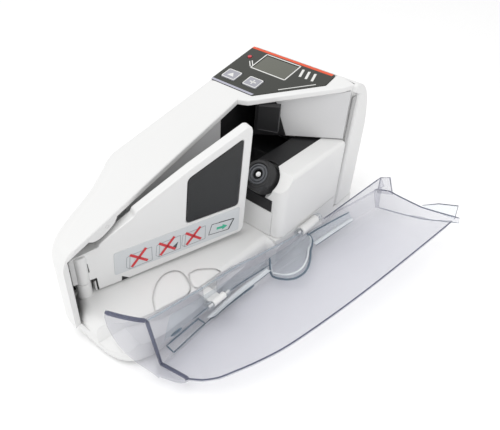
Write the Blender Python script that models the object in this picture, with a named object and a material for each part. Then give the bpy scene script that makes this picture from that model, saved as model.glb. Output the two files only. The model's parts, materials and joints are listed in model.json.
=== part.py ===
# Handheld banknote counter: a tapered case with an inclined control panel, a swinging pressure arm,
# a slanted feed roller driven by a small motor, and a clear front cover shown folded open.
# Rest pose: cover open, arm swung out. Built in grid units, one unit being U metres.
import math

import bmesh
import bpy
from mathutils import Matrix, Vector

for old in list(bpy.data.objects):
    bpy.data.objects.remove(old, do_unlink=True)

# ---- driving dimensions, in grid units unless the name says otherwise ----
U = 0.00108  # metres per grid unit; makes the case 206 mm long
ORIGIN = (86.4, -73.3, -21.7)  # grid position of the part's own origin
WALL = 2.1  # moulded wall
GAP = 0.28  # clearance between touching pieces
PANEL_SLOPE = math.tan(math.radians(12.9))
PANEL_X = 162.3  # right edge of the panel
PANEL_Z = 75.0  # height of the panel at that edge
BASE_Z0 = -20.0  # underside of the base
FLOOR_Z = 0.0  # note floor
FOOT_Z = -21.7
ARM_AXIS = (0.0, -30.7)
ARM_SWING = math.radians(-17.0)
ROLLER_AT = (97.3, -60.0, 38.6)  # centre of the roller's front face
ROLLER_DIR = Vector((-1.0, 0.0, 1.0)).normalized()
HINGE_Y = -80.6
HINGE_Z = -2.6
MOTOR_OFFSET = -8.3  # motor axis from the roller axis, along Y


def metres(p):
    return Vector([(p[i] - ORIGIN[i]) * U for i in range(3)])


def plane_z(x, drop=0.0):
    """Height of the inclined top plane at x, less drop."""
    return PANEL_Z + (x - PANEL_X) * PANEL_SLOPE - drop


# ---- materials ----
def material(name, colour, rough=0.4, metal=0.0, clear=0.0):
    mat = bpy.data.materials.new(name)
    mat.use_nodes = True
    shader = mat.node_tree.nodes["Principled BSDF"]
    shader.inputs["Base Color"].default_value = (*colour, 1.0)
    shader.inputs["Roughness"].default_value = rough
    shader.inputs["Metallic"].default_value = metal
    shader.inputs["Transmission Weight"].default_value = clear
    return mat


MATS = {
    "white_abs": material("white_abs", (0.86, 0.86, 0.85), 0.3),
    "grey_abs": material("grey_abs", (0.62, 0.62, 0.61), 0.45),
    "black_abs": material("black_abs", (0.02, 0.02, 0.022), 0.4),
    "clear_pc": material("clear_pc", (0.78, 0.82, 0.88), 0.05, 0.0, 0.9),
    "membrane": material("membrane", (0.06, 0.065, 0.055), 0.45),
    "lilac_keys": material("lilac_keys", (0.5, 0.5, 0.56), 0.45),
    "lcd_glass": material("lcd_glass", (0.3, 0.32, 0.27), 0.15),
    "led_red": material("led_red", (0.7, 0.05, 0.05), 0.2),
    "rubber": material("rubber", (0.03, 0.03, 0.03), 0.8),
    "steel": material("steel", (0.7, 0.7, 0.7), 0.3, 1.0),
    "brass": material("brass", (0.75, 0.6, 0.3), 0.35, 1.0),
    "pcb_green": material("pcb_green", (0.05, 0.25, 0.1), 0.5),
    "cell_jacket": material("cell_jacket", (0.12, 0.2, 0.4), 0.4),
    "label_film": material("label_film", (0.75, 0.77, 0.78), 0.35),
}


# ---- mesh helpers; every one takes grid units and returns an object in metres ----
def finish(name, bm, slot):
    bmesh.ops.remove_doubles(bm, verts=bm.verts, dist=1e-6)
    bmesh.ops.recalc_face_normals(bm, faces=bm.faces)
    mesh = bpy.data.meshes.new(name)
    bm.to_mesh(mesh)
    bm.free()
    mesh.materials.clear()
    mesh.materials.append(MATS[slot])
    obj = bpy.data.objects.new(name, mesh)
    bpy.context.collection.objects.link(obj)
    return obj


def loft(name, loops, slot="white_abs"):
    """A solid through loops of equal length, capped at both ends."""
    bm = bmesh.new()
    rows = [[bm.verts.new(metres(p)) for p in loop] for loop in loops]
    for a, b in zip(rows, rows[1:]):
        for i in range(len(a)):
            j = (i + 1) % len(a)
            bm.faces.new((a[i], a[j], b[j], b[i]))
    bm.faces.new(list(reversed(rows[0])))
    bm.faces.new(rows[-1])
    return finish(name, bm, slot)


def prism_z(name, poly, z0, z1, slot="white_abs"):
    """Plan polygon extruded between two heights; each height is a number or a function of x."""
    low = z0 if callable(z0) else (lambda x: z0)
    high = z1 if callable(z1) else (lambda x: z1)
    return loft(name, [[(x, y, low(x)) for x, y in poly], [(x, y, high(x)) for x, y in poly]], slot)


def prism_y(name, poly, y0, y1, slot="white_abs"):
    """Elevation polygon (x, z) extruded between two depths."""
    return loft(name, [[(x, y0, z) for x, z in poly], [(x, y1, z) for x, z in poly]], slot)


def box(name, x0, x1, y0, y1, z0, z1, slot="white_abs"):
    return prism_z(name, [(x0, y0), (x1, y0), (x1, y1), (x0, y1)], z0, z1, slot)


def frame_of(direction):
    side = Vector((0, 1, 0)) if abs(direction.y) < 0.9 else Vector((1, 0, 0))
    u = direction.cross(side).normalized()
    return u, direction.cross(u).normalized()


def turned(name, at, direction, profile, slot, sides=32):
    """Solid of revolution; profile is (s, r) along the direction, the ends closed."""
    u, v = frame_of(direction)
    at = Vector(at)
    loops = []
    for s, r in profile:
        ring = []
        for k in range(sides):
            t = 2 * math.pi * k / sides
            ring.append(at + direction * s + (u * math.cos(t) + v * math.sin(t)) * r)
        loops.append(ring)
    return loft(name, loops, slot)


def rod(name, p0, p1, r, slot="steel", sides=20):
    a = Vector(p0)
    d = Vector(p1) - a
    return turned(name, a, d.normalized(), [(0.0, r), (d.length, r)], slot, sides)


def ring_profile(name, at, direction, profile, slot, sides=32):
    """Closed ring of revolution: profile is a loop of (s, r) with r > 0."""
    u, v = frame_of(direction)
    at = Vector(at)
    bm = bmesh.new()
    rows = []
    for k in range(sides):
        t = 2 * math.pi * k / sides
        radial = u * math.cos(t) + v * math.sin(t)
        rows.append([bm.verts.new(metres(at + direction * s + radial * r)) for s, r in profile])
    for k in range(sides):
        a, b = rows[k], rows[(k + 1) % sides]
        for i in range(len(profile)):
            j = (i + 1) % len(profile)
            bm.faces.new((a[i], a[j], b[j], b[i]))
    return finish(name, bm, slot)


def combine(target, tool, operation):
    """Applies one exact boolean and removes the tool."""
    mod = target.modifiers.new("op", "BOOLEAN")
    mod.operation = operation
    mod.object = tool
    mod.solver = "EXACT"
    graph = bpy.context.evaluated_depsgraph_get()
    result = bpy.data.meshes.new_from_object(target.evaluated_get(graph))
    slot = target.data.materials[0]
    target.modifiers.clear()
    target.data = result
    target.data.materials.clear()
    target.data.materials.append(slot)
    for face in target.data.polygons:
        face.material_index = 0
    bm = bmesh.new()
    bm.from_mesh(target.data)
    bmesh.ops.remove_doubles(bm, verts=bm.verts, dist=3e-6)
    bmesh.ops.dissolve_degenerate(bm, edges=bm.edges, dist=3e-6)
    bm.to_mesh(target.data)
    bm.free()
    bpy.data.objects.remove(tool, do_unlink=True)
    return target


def cut(target, *tools):
    for tool in tools:
        combine(target, tool, "DIFFERENCE")
    return target


def weld(target, *tools):
    for tool in tools:
        combine(target, tool, "UNION")
    return target


def name_each(name, objects):
    """Numbers a run of like pieces; each stays its own object."""
    for k, obj in enumerate(objects):
        obj.name = "%s_%d" % (name, k + 1)
        obj.data.name = obj.name
    return objects


def set_origin(obj, at):
    """Moves the object's origin to a grid point without moving the shape."""
    shift = metres(at)
    obj.data.transform(Matrix.Translation(-shift))
    obj.location = shift
    return obj


def inset(poly, d):
    """Plan polygon moved inward by d; the polygon runs counter-clockwise."""
    n = len(poly)
    out = []
    for i in range(n):
        p, q, r = Vector(poly[i - 1]), Vector(poly[i]), Vector(poly[(i + 1) % n])
        a = (q - p).normalized()
        b = (r - q).normalized()
        na, nb = Vector((-a.y, a.x)), Vector((-b.y, b.x))
        m = (na + nb).normalized()
        out.append(tuple(q + m * (d / max(0.35, m.dot(na)))))
    return out


def arc(cx, cy, r, a0, a1, steps):
    out = []
    for k in range(steps + 1):
        t = math.radians(a0 + (a1 - a0) * k / steps)
        out.append((cx + r * math.cos(t), cy + r * math.sin(t)))
    return out


# ---- plan outlines, counter-clockwise ----
BACK_RUN = arc(174.5, -6.0, 8.5, 0, 90, 5) + [(49.0, 2.5), (43.0, 0.9), (36.0, -3.2), (23.0, -9.8)]
TIP_RUN = [(10.0, -14.0), (0.0, -17.6), (-7.0, -21.8), (-11.0, -27.3), (-12.5, -33.4)]
TIP_RUN += [(-12.6, -38.6)]
ROOF_FRONT = [(-7.5, -38.0), (116.0, -28.2), (118.0, -34.0), (155.4, -72.2), (160.0, -77.9)]
CASE_PLAN = [(183.0, -77.9)] + BACK_RUN + TIP_RUN + ROOF_FRONT
BASE_TIP = [(8.0, -15.0), (-1.0, -19.0), (-6.0, -24.0), (-8.6, -31.0), (-9.0, -45.0)]
BASE_NOSE = [(-8.6, -55.0), (-7.0, -62.0), (-3.5, -67.5), (2.0, -71.0), (10.0, -72.8), (30.0, -73.0)]
BASE_PLAN = [(181.0, -77.9)] + BACK_RUN[:] + BASE_TIP + BASE_NOSE + [(94.0, -73.0), (97.0, -77.9)]


# ---- case shell ----
def shell_loops(poly, z0, top, radius, steps=4):
    loops = [[(x, y, z0) for x, y in poly]]
    for k in range(steps + 1):
        t = math.radians(90.0 * k / steps)
        ringpoly = inset(poly, radius * (1 - math.cos(t)))
        drop = radius * (1 - math.sin(t))
        loops.append([(x, y, top(x) - drop) for x, y in ringpoly])
    return loops


END_CURVE = [(183.4, -14.0), (183.0, 5.0), (182.3, 20.0), (180.7, 36.0), (178.4, 50.0)]
END_CURVE += [(176.3, 59.0), (173.8, 65.6), (170.6, 70.6), (167.0, 73.8), (163.0, 75.85)]
END_CURVE += [(158.0, 76.6)]


def end_cutter(offset, y0=-90.0, y1=10.0):
    """Everything beyond the leaning, rounded right-hand end, moved inward by offset."""
    edge = [(x - offset, z - offset * max(0.0, (z - 50.0) / 26.0)) for x, z in END_CURVE]
    return prism_y("end", edge + [(158.0, 100.0), (210.0, 100.0), (210.0, -14.0)], y0, y1)


rear_shell = loft("rear_shell", shell_loops(CASE_PLAN, -9.5, lambda x: plane_z(x, -0.8), 3.6))
cut(rear_shell, end_cutter(0.0))
inner_plan = inset(CASE_PLAN, WALL)
cavity = prism_z("cavity", inner_plan, -12.0, lambda x: plane_z(x, 1.6))
cut(cavity, end_cutter(WALL))
cut(rear_shell, cavity)
# the case is open to the front under the roof edge, from the tip to the right-hand pillar
front_mouth = [(-9.6, -31.0), (-9.6, -60.0), (100.0, -70.0), (159.2, -90.0), (159.2, -68.0)]
front_mouth += [(150.0, -59.0), (121.5, -29.5), (120.5, -23.5), (114.0, -21.0)]
cut(rear_shell, prism_z("mouth", front_mouth, -14.0, lambda x: plane_z(x, 2.4)))
# window in the roof for the display and the keys, under the membrane
win = [(126.3, -2.9), (126.3, -30.4), (141.0, -44.6), (159.6, -44.6), (159.6, -2.9)]
cut(rear_shell, prism_z("win", win, 50, lambda x: plane_z(x, -3)))
# recess for the membrane
OVERLAY = [(162.3, -62.2), (162.3, -1.2), (122.5, -1.2), (122.5, -33.1), (151.4, -62.6)]
recess = prism_z("rec", inset(OVERLAY, -0.3), lambda x: plane_z(x, 0.0), lambda x: plane_z(x, -4.0))
cut(rear_shell, recess)
# stepped seat where the left-hand band meets the base
cut(rear_shell, box("seat", -14, 30, -40, -1, -12, -9.0))
# screw bosses inside the case, each ribbed to its nearest wall
SCREWS = ((94.4, -6.5), (170.0, -40.0))
RIBS = ((93.4, 95.4, -6.5, 1.2), (170.0, 181.4, -41.0, -39.0))
for (bx, by), span in zip(SCREWS, RIBS):
    boss = rod("boss", (bx, by, -7.6), (bx, by, 20.0), 3.2, "white_abs", 16)
    rib = box("rib", *span, -7.6, 18.0)
    weld(rear_shell, weld(boss, rib))
    cut(rear_shell, rod("hole", (bx, by, -12.0), (bx, by, 12.0), 1.45, "white_abs", 12))
# openings in the back for the power inlet and the rocker switch
cut(rear_shell, rod("inlet", (164.0, -4.0, 8.0), (164.0, 6.0, 8.0), 3.3, "white_abs", 20))
cut(rear_shell, box("rocker_gap", 140.5, 153.5, -4.0, 6.0, 4.0, 13.0))

# ---- base shell ----
base_loops = []
for z, d in ((BASE_Z0, 2.2), (BASE_Z0 + 0.8, 0.9), (BASE_Z0 + 2.6, 0.0), (-9.9, 0.0)):
    base_loops.append([(x, y, z) for x, y in inset(BASE_PLAN, d)])
base_shell = loft("base_shell", base_loops)
lip_plan = [(158.7, -77.9), (158.7, -1.0), (60.0, -1.0), (40.0, -6.0), (8.0, -19.5), (-2.5, -24.5)]
lip_plan += [(-6.0, -31.0), (-8.4, -39.2), (-9.0, -45.0)] + BASE_NOSE + [(94.0, -73.0), (97.0, -77.9)]
upper = []
for z, d in ((-12.0, 0.0), (-6.0, 0.0), (-3.2, 0.7), (-1.2, 2.0), (-0.3, 3.6), (FLOOR_Z, 5.4)):
    upper.append([(x, y, z) for x, y in inset(lip_plan, d)])
front_step = box("front_step", 97.0, 158.7, -77.9, -60.0, -12.0, FLOOR_Z)
weld(base_shell, loft("upper", upper), front_step)
pillar_foot = box("pf", 161.6, 178.6, -75.0, -4.5, -12.0, -8.0)
weld(base_shell, pillar_foot)
# battery bay in the underside, and the hollow above it
cut(base_shell, box("bay", 24.0, 86.5, -65.4, -12.6, -25.0, -3.4))
cut(base_shell, box("bay_lip", 21.5, 89.0, -67.4, -11.8, -25.0, -17.4))
cut(base_shell, box("hollow", 100.0, 156.0, -74.0, -4.0, -17.5, -2.6))
cut(base_shell, rod("wire_way", (92.0, -40.0, -10.0), (104.0, -40.0, -10.0), 2.0, "white_abs", 12))
cut(base_shell, rod("wire_in", (80.0, -40.0, -10.0), (95.0, -40.0, -10.0), 2.0, "white_abs", 12))
cut(base_shell, box("mech_way", 112.0, 150.0, -48.0, -30.0, -5.0, 2.0))
# two low rounded pads on the floor, under the notes
PADS = (
    [(6, -64), (5, -57), (8, -50), (14, -46.5), (20, -48), (22.5, -53), (20, -60), (13, -66.5)],
    [(26, -66.5), (25, -58), (28.5, -51), (37, -47.5), (64, -50), (78, -56), (84, -62), (84, -66.8)],
)
for pad in PADS:
    loops = [[(x, y, -1.0) for x, y in pad], [(x, y, 0.5) for x, y in pad]]
    loops.append([(x, y, 1.3) for x, y in inset(list(pad), -1.0)])
    weld(base_shell, loft("pad", loops))
# screw holes from below and bosses for the cover pins
cut(base_shell, box("band", -13.5, -8.9, -39.2, -30.0, -9.2, 3.0))
cut(base_shell, box("rib_way", 92.9, 95.9, -6.5, 3.0, -8.3, 3.0))
for sx, sy in SCREWS:
    cut(base_shell, rod("sh", (sx, sy, -25.0), (sx, sy, 4.0), 1.9, "white_abs", 12))
    cut(base_shell, rod("sc", (sx, sy, -25.0), (sx, sy, -16.0), 3.6, "white_abs", 16))
    cut(base_shell, rod("bs", (sx, sy, -8.3), (sx, sy, 4.0), 3.6, "white_abs", 16))
# clearance for the closed cover along the front edge and over the nose; (x, y, z) of its free edge
CREASE = [(-14.0, -11.0), (14.0, -11.6), (50.0, -12.4), (86.0, -7.3), (125.6, -1.2)]
CREASE += [(160.7, 4.8), (184.0, 11.6)]
EDGE = [(-14.0, -49.6, -13.0), (-8.6, -53.8, -8.8), (-5.0, -56.7, -5.4), (1.2, -61.8, 0.0)]
EDGE += [(9.0, -64.4, -2.0), (18.0, -67.4, -4.6), (38.0, -71.1, -6.2), (51.0, -71.7, -4.9)]
EDGE += [(65.0, -72.3, -3.4), (77.0, -75.2, -3.7), (89.5, -77.2, -3.5), (105.0, -79.6, -2.4)]
EDGE += [(120.6, -80.4, -1.0), (139.0, -80.4, 3.7), (158.0, -80.5, 9.6)]
EDGE += [(174.0, -80.4, 13.6), (184.0, -80.2, 16.0)]


def along(table, x, column):
    """Linear interpolation of one column of a table keyed on x."""
    for a, b in zip(table, table[1:]):
        if a[0] <= x <= b[0]:
            return a[column] + (b[column] - a[column]) * (x - a[0]) / (b[0] - a[0])
    return table[-1][column]


ROOM_BACK = [(-14.0, 3.4), (-5.0, 3.2), (1.2, 2.1), (9.0, 1.7), (184.0, 1.7)]  # behind its free edge
ROOM_BELOW = [(-14.0, 5.2), (-5.0, 4.6), (1.2, 3.4), (9.0, 2.7), (184.0, 2.7)]  # under its wall
clearance = []
for x in (-13.9, -8.6, -5.0, 1.2, 9.0, 18.0, 38.0, 51.0, 65.0, 77.0, 89.5, 97.0, 105.0):
    ye = along(EDGE, x, 1) + along(ROOM_BACK, x, 1)
    ze = along(EDGE, x, 2) - along(ROOM_BELOW, x, 1)
    low = along(CREASE, x, 1) - along(ROOM_BELOW, x, 1)
    clearance.append([(x, -97.0, low), (x, ye, ze), (x, ye, 9.0), (x, -97.0, 9.0)])
cut(base_shell, loft("clearance", clearance))
# hinge lugs on the front edge
LUGS = ((117.0, 133.0), (40.0, 49.0))


def hinge_rod(name, x0, x1, r, slot, sides=20):
    """Round bar on the cover's hinge axis."""
    return rod(name, (x0, HINGE_Y, HINGE_Z), (x1, HINGE_Y, HINGE_Z), r, slot, sides)


lug = hinge_rod("lug", *LUGS[0], 2.7, "white_abs", 24)
web = box("web", LUGS[0][0], LUGS[0][1], HINGE_Y, -76.0, HINGE_Z - 2.2, HINGE_Z + 1.0)
weld(base_shell, weld(lug, web))
lug2 = hinge_rod("lug2", *LUGS[1], 2.7, "white_abs", 24)
web2 = box("web2", LUGS[1][0], LUGS[1][1], HINGE_Y, -68.0, HINGE_Z - 2.7, HINGE_Z - 0.2)
weld(base_shell, weld(lug2, web2))
for x0, x1 in LUGS:
    cut(base_shell, hinge_rod("pinhole", x0 - 1, x1 + 1, 1.35, "steel"))
# seat for the lower end of the arm pin
cut(base_shell, rod("armpin", (*ARM_AXIS, -6.0), (*ARM_AXIS, 2.0), 1.35, "steel", 20))

# ---- inner walls ----
back_plate = prism_z("back_plate", [(3, -24), (106.6, -24), (106.6, -22), (3, -22)], 0.3,
                     lambda x: plane_z(x, 2.6), "grey_abs")
skirt_plan = [(126.0, -33.4), (158.6, -75.6), (158.6, -72.4), (158.6, -4.0)]
skirt_plan += [(156.8, -4.0), (156.8, -71.2), (127.8, -33.4)]
display_skirt = prism_z("display_skirt", skirt_plan, 41.0, lambda x: plane_z(x, 2.8), "grey_abs")
thumb = [(4.0, 31.5)]
for a in range(15, 170, 22):
    tx = 14.0 - 9.6 * math.cos(math.radians(a))
    thumb.append((tx, 33.5 - 5.4 * math.sin(math.radians(a)) + tx * 0.22))
thumb += [(24.0, 40.0), (24.0, 42.8), (4.0, 38.2)]
weld(rear_shell, prism_y("thumb", thumb, -26.6, -25.2))

# ---- black chassis around the note path ----
FEED = [(98.9, 20.8), (98.9, 31.4), (107.3, 39.8), (150.0, 39.8), (150.0, 20.8)]
chassis_block = prism_y("chassis_block", FEED, -64.6, -52.0, "black_abs")
weld(chassis_block, box("low", 98.9, 150.0, -58.2, -52.0, 0.3, 21.5, "black_abs"))
weld(chassis_block, box("link", 128.0, 150.0, -53.0, -22.4, 0.3, 30.0, "black_abs"))
wall = [(107.0, -24.0), (124.7, -24.0), (125.3, -24.0), (150.0, -24.0)]
wall += [(150.0, -22.0), (125.3, -22.0), (124.7, -22.0), (107.0, -22.0)]


def wall_top(x):
    return plane_z(x, 2.6) if x < 125.0 else 56.0


weld(chassis_block, prism_z("wall", wall, 0.3, wall_top, "black_abs"))
axis = ROLLER_DIR
MECH = [(102.0, 3.0), (102.0, 24.2), (115.6, 37.8), (147.6, 37.8), (147.6, 3.0)]
cut(chassis_block, prism_y("mech", MECH, -66.0, -53.2))
cut(chassis_block, turned("pocket", ROLLER_AT, axis, [(-11.4, 10.7), (12.0, 10.7)], "black_abs", 48))
cut(chassis_block, turned("bush_hole", ROLLER_AT, axis, [(-14.6, 2.85), (-10.0, 2.85)], "black_abs", 24))
HOOD = [(121.6, -39.0), (126.8, -50.2), (129.6, -48.8), (124.4, -37.6)]
sensor_hood = prism_z("sensor_hood", HOOD, 48.0, lambda x: plane_z(x, 2.8), "black_abs")

# ---- white roller housing ----
HOUSING = [(98.7, 0.3), (98.7, 31.6), (107.2, 40.2), (158.6, 40.2), (158.6, 0.3)]
roller_housing = prism_y("roller_housing", HOUSING, -77.9, -64.9)
weld(roller_housing, box("cheek", 98.7, 103.0, -66.0, -58.5, 0.3, 20.4))
chamfer = [(98.0, -79.0), (103.0, -79.0), (98.0, -69.5)]
cut(roller_housing, prism_z("chamfer", chamfer, -2.0, 45.0))
INNER = [(101.2, 2.6), (101.2, 26.0), (113.4, 37.9), (156.2, 37.9), (156.2, 2.6)]
cut(roller_housing, prism_y("inner", INNER, -75.6, -60.0))
cut(roller_housing, turned("pocket", ROLLER_AT, axis, [(-11.4, 10.7), (12.0, 10.7)], "white_abs", 48))

# ---- feed roller, its shaft and its drive ----
TYRE = [(-10.6, 5.7), (-10.6, 9.0), (-2.6, 9.0), (-1.2, 7.9), (0.0, 7.3), (0.0, 5.7)]
feed_tyre = ring_profile("feed_tyre", ROLLER_AT, axis, TYRE, "rubber", 48)
HUB = [(-10.4, 1.9), (-10.4, 5.4), (-0.4, 5.4), (-0.4, 4.7), (-0.9, 4.5), (-0.9, 4.1)]
HUB += [(-0.3, 3.9), (-0.3, 3.1), (-3.0, 3.0), (-3.0, 1.9)]
BUSH = [(-13.3, 1.9), (-13.3, 2.55), (-11.7, 2.55), (-11.7, 1.9)]
roller_hub = ring_profile("roller_hub", ROLLER_AT, axis, HUB, "grey_abs", 32)
SHAFT = [(-19.8, 1.6), (-1.2, 1.6), (-0.9, 1.3)]
roller_shaft = turned("roller_shaft", ROLLER_AT, axis, SHAFT, "steel", 24)
shaft_bush = ring_profile("shaft_bush", ROLLER_AT, axis, BUSH, "brass", 24)


def gear_loop(at, direction, r_root, r_tip, teeth, s, phase=0.0):
    u, v = frame_of(direction)
    pts = []
    for k in range(teeth):
        for f, r in ((0.0, r_root), (0.14, r_tip), (0.32, r_tip), (0.46, r_root)):
            t = 2 * math.pi * (k + f + phase) / teeth
            pts.append(Vector(at) + direction * s + (u * math.cos(t) + v * math.sin(t)) * r)
    return pts


GEAR_S = (-17.6, -14.6)
GEAR_TEETH = 24
PINION_TEETH = 10
MESH = -0.23  # turn of both toothed wheels, in teeth, that puts tooth into gap
gear_ends = [gear_loop(ROLLER_AT, axis, 5.25, 6.3, GEAR_TEETH, s, MESH) for s in GEAR_S]
drive_gear = loft("drive_gear", gear_ends, "white_abs")
cut(drive_gear, turned("bore", ROLLER_AT, axis, [(-19.0, 1.88), (-13.0, 1.88)], "white_abs", 24))
MOTOR_AT = (ROLLER_AT[0], ROLLER_AT[1] + MOTOR_OFFSET, ROLLER_AT[2])
pinion_ends = [gear_loop(MOTOR_AT, axis, 1.8, 2.88, PINION_TEETH, s, MESH) for s in GEAR_S]
motor_pinion = loft("motor_pinion", pinion_ends, "brass")
cut(motor_pinion, turned("bore", MOTOR_AT, axis, [(-19.0, 0.95), (-13.0, 0.95)], "brass", 16))
motor_shaft = turned("motor_shaft", MOTOR_AT, axis, [(-43.0, 0.65), (-14.2, 0.65)], "steel", 16)
CAN = [(-41.5, 1.0), (-41.5, 6.4), (-40.5, 7.0), (-21.4, 7.0), (-20.3, 6.2), (-20.3, 1.0)]
motor_body = ring_profile("motor_body", MOTOR_AT, axis, CAN, "steel", 32)


def slab(name, s0, s1, half_u, y0, y1, slot):
    """Flat plate square to the roller's axis, between two stations along it."""
    loops = []
    for s in (s0, s1):
        c = Vector(ROLLER_AT) + axis * s
        e = Vector((0.7071, 0.0, 0.7071))
        ring = []
        for a, y in ((-half_u, y0), (half_u, y0), (half_u, y1), (-half_u, y1)):
            q = c + e * a
            ring.append((q.x, y, q.z))
        loops.append(ring)
    return loft(name, loops, slot)


motor_bracket = slab("motor_bracket", -19.6, -18.4, 6.4, -75.2, -55.0, "steel")
cut(motor_bracket, turned("h1", ROLLER_AT, axis, [(-22.0, 1.9), (-16.0, 1.9)], "steel", 24))
cut(motor_bracket, turned("h2", MOTOR_AT, axis, [(-22.0, 1.2), (-16.0, 1.2)], "steel", 16))

# ---- pressure arm, swung out about its upright pin ----
COS, SIN = math.cos(ARM_SWING), math.sin(ARM_SWING)


def arm_point(a, n, z):
    return (ARM_AXIS[0] + a * COS - n * SIN, ARM_AXIS[1] + a * SIN + n * COS, z)


def arm_prism(name, poly, n0, n1, slot):
    loops = [[arm_point(a, n, z) for a, z in poly] for n in (n0, n1)]
    return loft(name, loops, slot)


ARM = [(5.0, 0.9), (20.0, 1.0), (52.0, 2.2), (90.0, 3.8), (92.4, 5.8), (95.2, 68.0)]
ARM += [(94.4, 70.6), (92.0, 71.2), (60.0, 57.0), (31.0, 42.2), (29.0, 41.4), (28.0, 39.4)]
ARM += [(12.0, 31.0), (2.0, 26.6), (-3.2, 26.3), (-3.6, 25.0), (-3.6, 9.2), (5.0, 9.2)]
pressure_arm = arm_prism("pressure_arm", ARM, -2.0, 3.5, "white_abs")
barrel = rod("barrel", (*ARM_AXIS, 9.2), (*ARM_AXIS, 26.3), 3.6, "white_abs", 28)
HOLLOW = [(8.0, 3.4), (88.6, 6.2), (92.2, 66.8), (60.0, 54.0), (30.0, 38.8), (12.0, 28.6)]
HOLLOW += [(8.0, 26.6)]
cut(pressure_arm, arm_prism("hollow", HOLLOW, 0.1, 6.0, "white_abs"))
weld(pressure_arm, barrel)
cut(pressure_arm, rod("hole", (*ARM_AXIS, 5.0), (*ARM_AXIS, 30.0), 1.35, "steel", 24))


def rounded(poly, r, steps=4):
    out = []
    n = len(poly)
    for i in range(n):
        p, q, s = Vector(poly[i - 1]), Vector(poly[i]), Vector(poly[(i + 1) % n])
        a, b = q + (p - q).normalized() * r, q + (s - q).normalized() * r
        for k in range(steps + 1):
            t = k / steps
            out.append(tuple(a * (1 - t) ** 2 + q * 2 * t * (1 - t) + b * t * t))
    return out


PAD = [(57.8, 51.4), (56.0, 23.6), (88.4, 23.8), (90.2, 65.6)]
cut(pressure_arm, arm_prism("padseat", rounded(PAD, 2.6), -3.0, -1.2, "white_abs"))
PAD_INNER = [(58.1, 51.0), (56.4, 24.0), (88.0, 24.2), (89.8, 65.0)]
arm_pad = arm_prism("arm_pad", rounded(PAD_INNER, 2.3), -2.2, -1.5, "black_abs")
STICKER = [(15.4, 7.0), (89.0, 6.4), (89.3, 22.4), (16.4, 21.2)]
arm_label = arm_prism("arm_label", rounded(STICKER, 1.0, 2), -2.65, -2.28, "label_film")
SLIT = [(2.8, 15.0), (3.5, 15.0), (3.2, 20.6), (2.6, 20.6)]
cut(pressure_arm, arm_prism("slit", SLIT, -3.0, -1.2, "white_abs"))
arm_pin = rod("arm_pin", (*ARM_AXIS, -5.6), (*ARM_AXIS, 26.6), 1.05, "steel", 20)
KNUCKLE = [(-1.0, 2.8), (-1.0, 3.6), (8.8, 3.6), (8.8, 2.8)]
knuckle = ring_profile("knuckle", (*ARM_AXIS, 0.0), Vector((0, 0, 1)), KNUCKLE, "white_abs", 28)
weld(base_shell, knuckle)
coil = []
for k in range(81):
    t = 2 * math.pi * k / 14
    radial = Vector((math.cos(t), math.sin(t), 0.0))
    centre = Vector((*ARM_AXIS, 1.0 + 6.7 * k / 80)) + radial * 2.1
    ring = []
    for m in range(6):
        w = 2 * math.pi * m / 6
        ring.append(centre + radial * (0.38 * math.cos(w)) + Vector((0, 0, 0.38 * math.sin(w))))
    coil.append(ring)
arm_spring = loft("arm_spring", coil, "steel")

# ---- control panel ----
SLOPE_DIR = Vector((1.0, 0.0, PANEL_SLOPE)).normalized()
PANEL_NORMAL = Vector((-SLOPE_DIR.z, 0.0, SLOPE_DIR.x))


def on_panel(poly, low, high, name, slot):
    """Prism standing on the inclined panel, between two heights along its normal."""
    loops = []
    for h in (low, high):
        ring = []
        for x, y in poly:
            q = Vector((x, y, plane_z(x))) + PANEL_NORMAL * h
            ring.append(tuple(q))
        loops.append(ring)
    return loft(name, loops, slot)


DISPLAY = [(144.0, -39.4), (158.8, -39.4), (158.8, -14.9), (144.0, -14.9)]
KEYS = {"start_key": (132.0, -9.7), "add_key": (132.4, -25.6)}
KEY_HALF = (4.3, 5.2)
film = rounded(inset(OVERLAY, 0.1), 0.9, 2)
panel_overlay = on_panel(film, 0.35, 1.05, "panel_overlay", "membrane")
cut(panel_overlay, on_panel(DISPLAY, -2, 3, "w", "membrane"))
lens = on_panel(inset(DISPLAY, 0.3), 0.1, 0.75, "display_lens", "lcd_glass")
MODULE = [(144.8, -37.5), (155.4, -37.5), (155.4, -16.6), (144.8, -16.6)]
display_module = on_panel(MODULE, -3.2, -1.2, "display_module", "lcd_glass")


def key_plan(cx, cy, grow=0.0):
    a, b = KEY_HALF[0] + grow, KEY_HALF[1] + grow
    return rounded([(cx - a, cy - b), (cx + a, cy - b), (cx + a, cy + b), (cx - a, cy + b)], 1.2, 3)


for key, (kx, ky) in KEYS.items():
    cut(panel_overlay, on_panel(key_plan(kx, ky, 0.32), -2, 3, "w", "membrane"))
    cap = on_panel(key_plan(kx, ky), -1.6, 1.5, key, "lilac_keys")
    weld(cap, on_panel(key_plan(kx, ky, 0.9), -2.6, -1.4, "flange", "lilac_keys"))
LED_AT = (152.0, -6.6)
led_poly = arc(*LED_AT, 1.3, 0, 336, 14)
cut(panel_overlay, on_panel(inset(led_poly, -0.3), -2, 3, "w", "membrane"))
status_led = on_panel(led_poly, -2.4, 1.35, "status_led", "led_red")
cut(rear_shell, on_panel(inset(led_poly, -0.3), -6, 3, "w", "white_abs"))
BOARD = [(129.0, -31.0), (137.0, -41.5), (153.5, -41.5), (153.5, -6.5), (129.0, -6.5)]
control_board = on_panel(BOARD, -7.0, -5.6, "control_board", "pcb_green")

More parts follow.
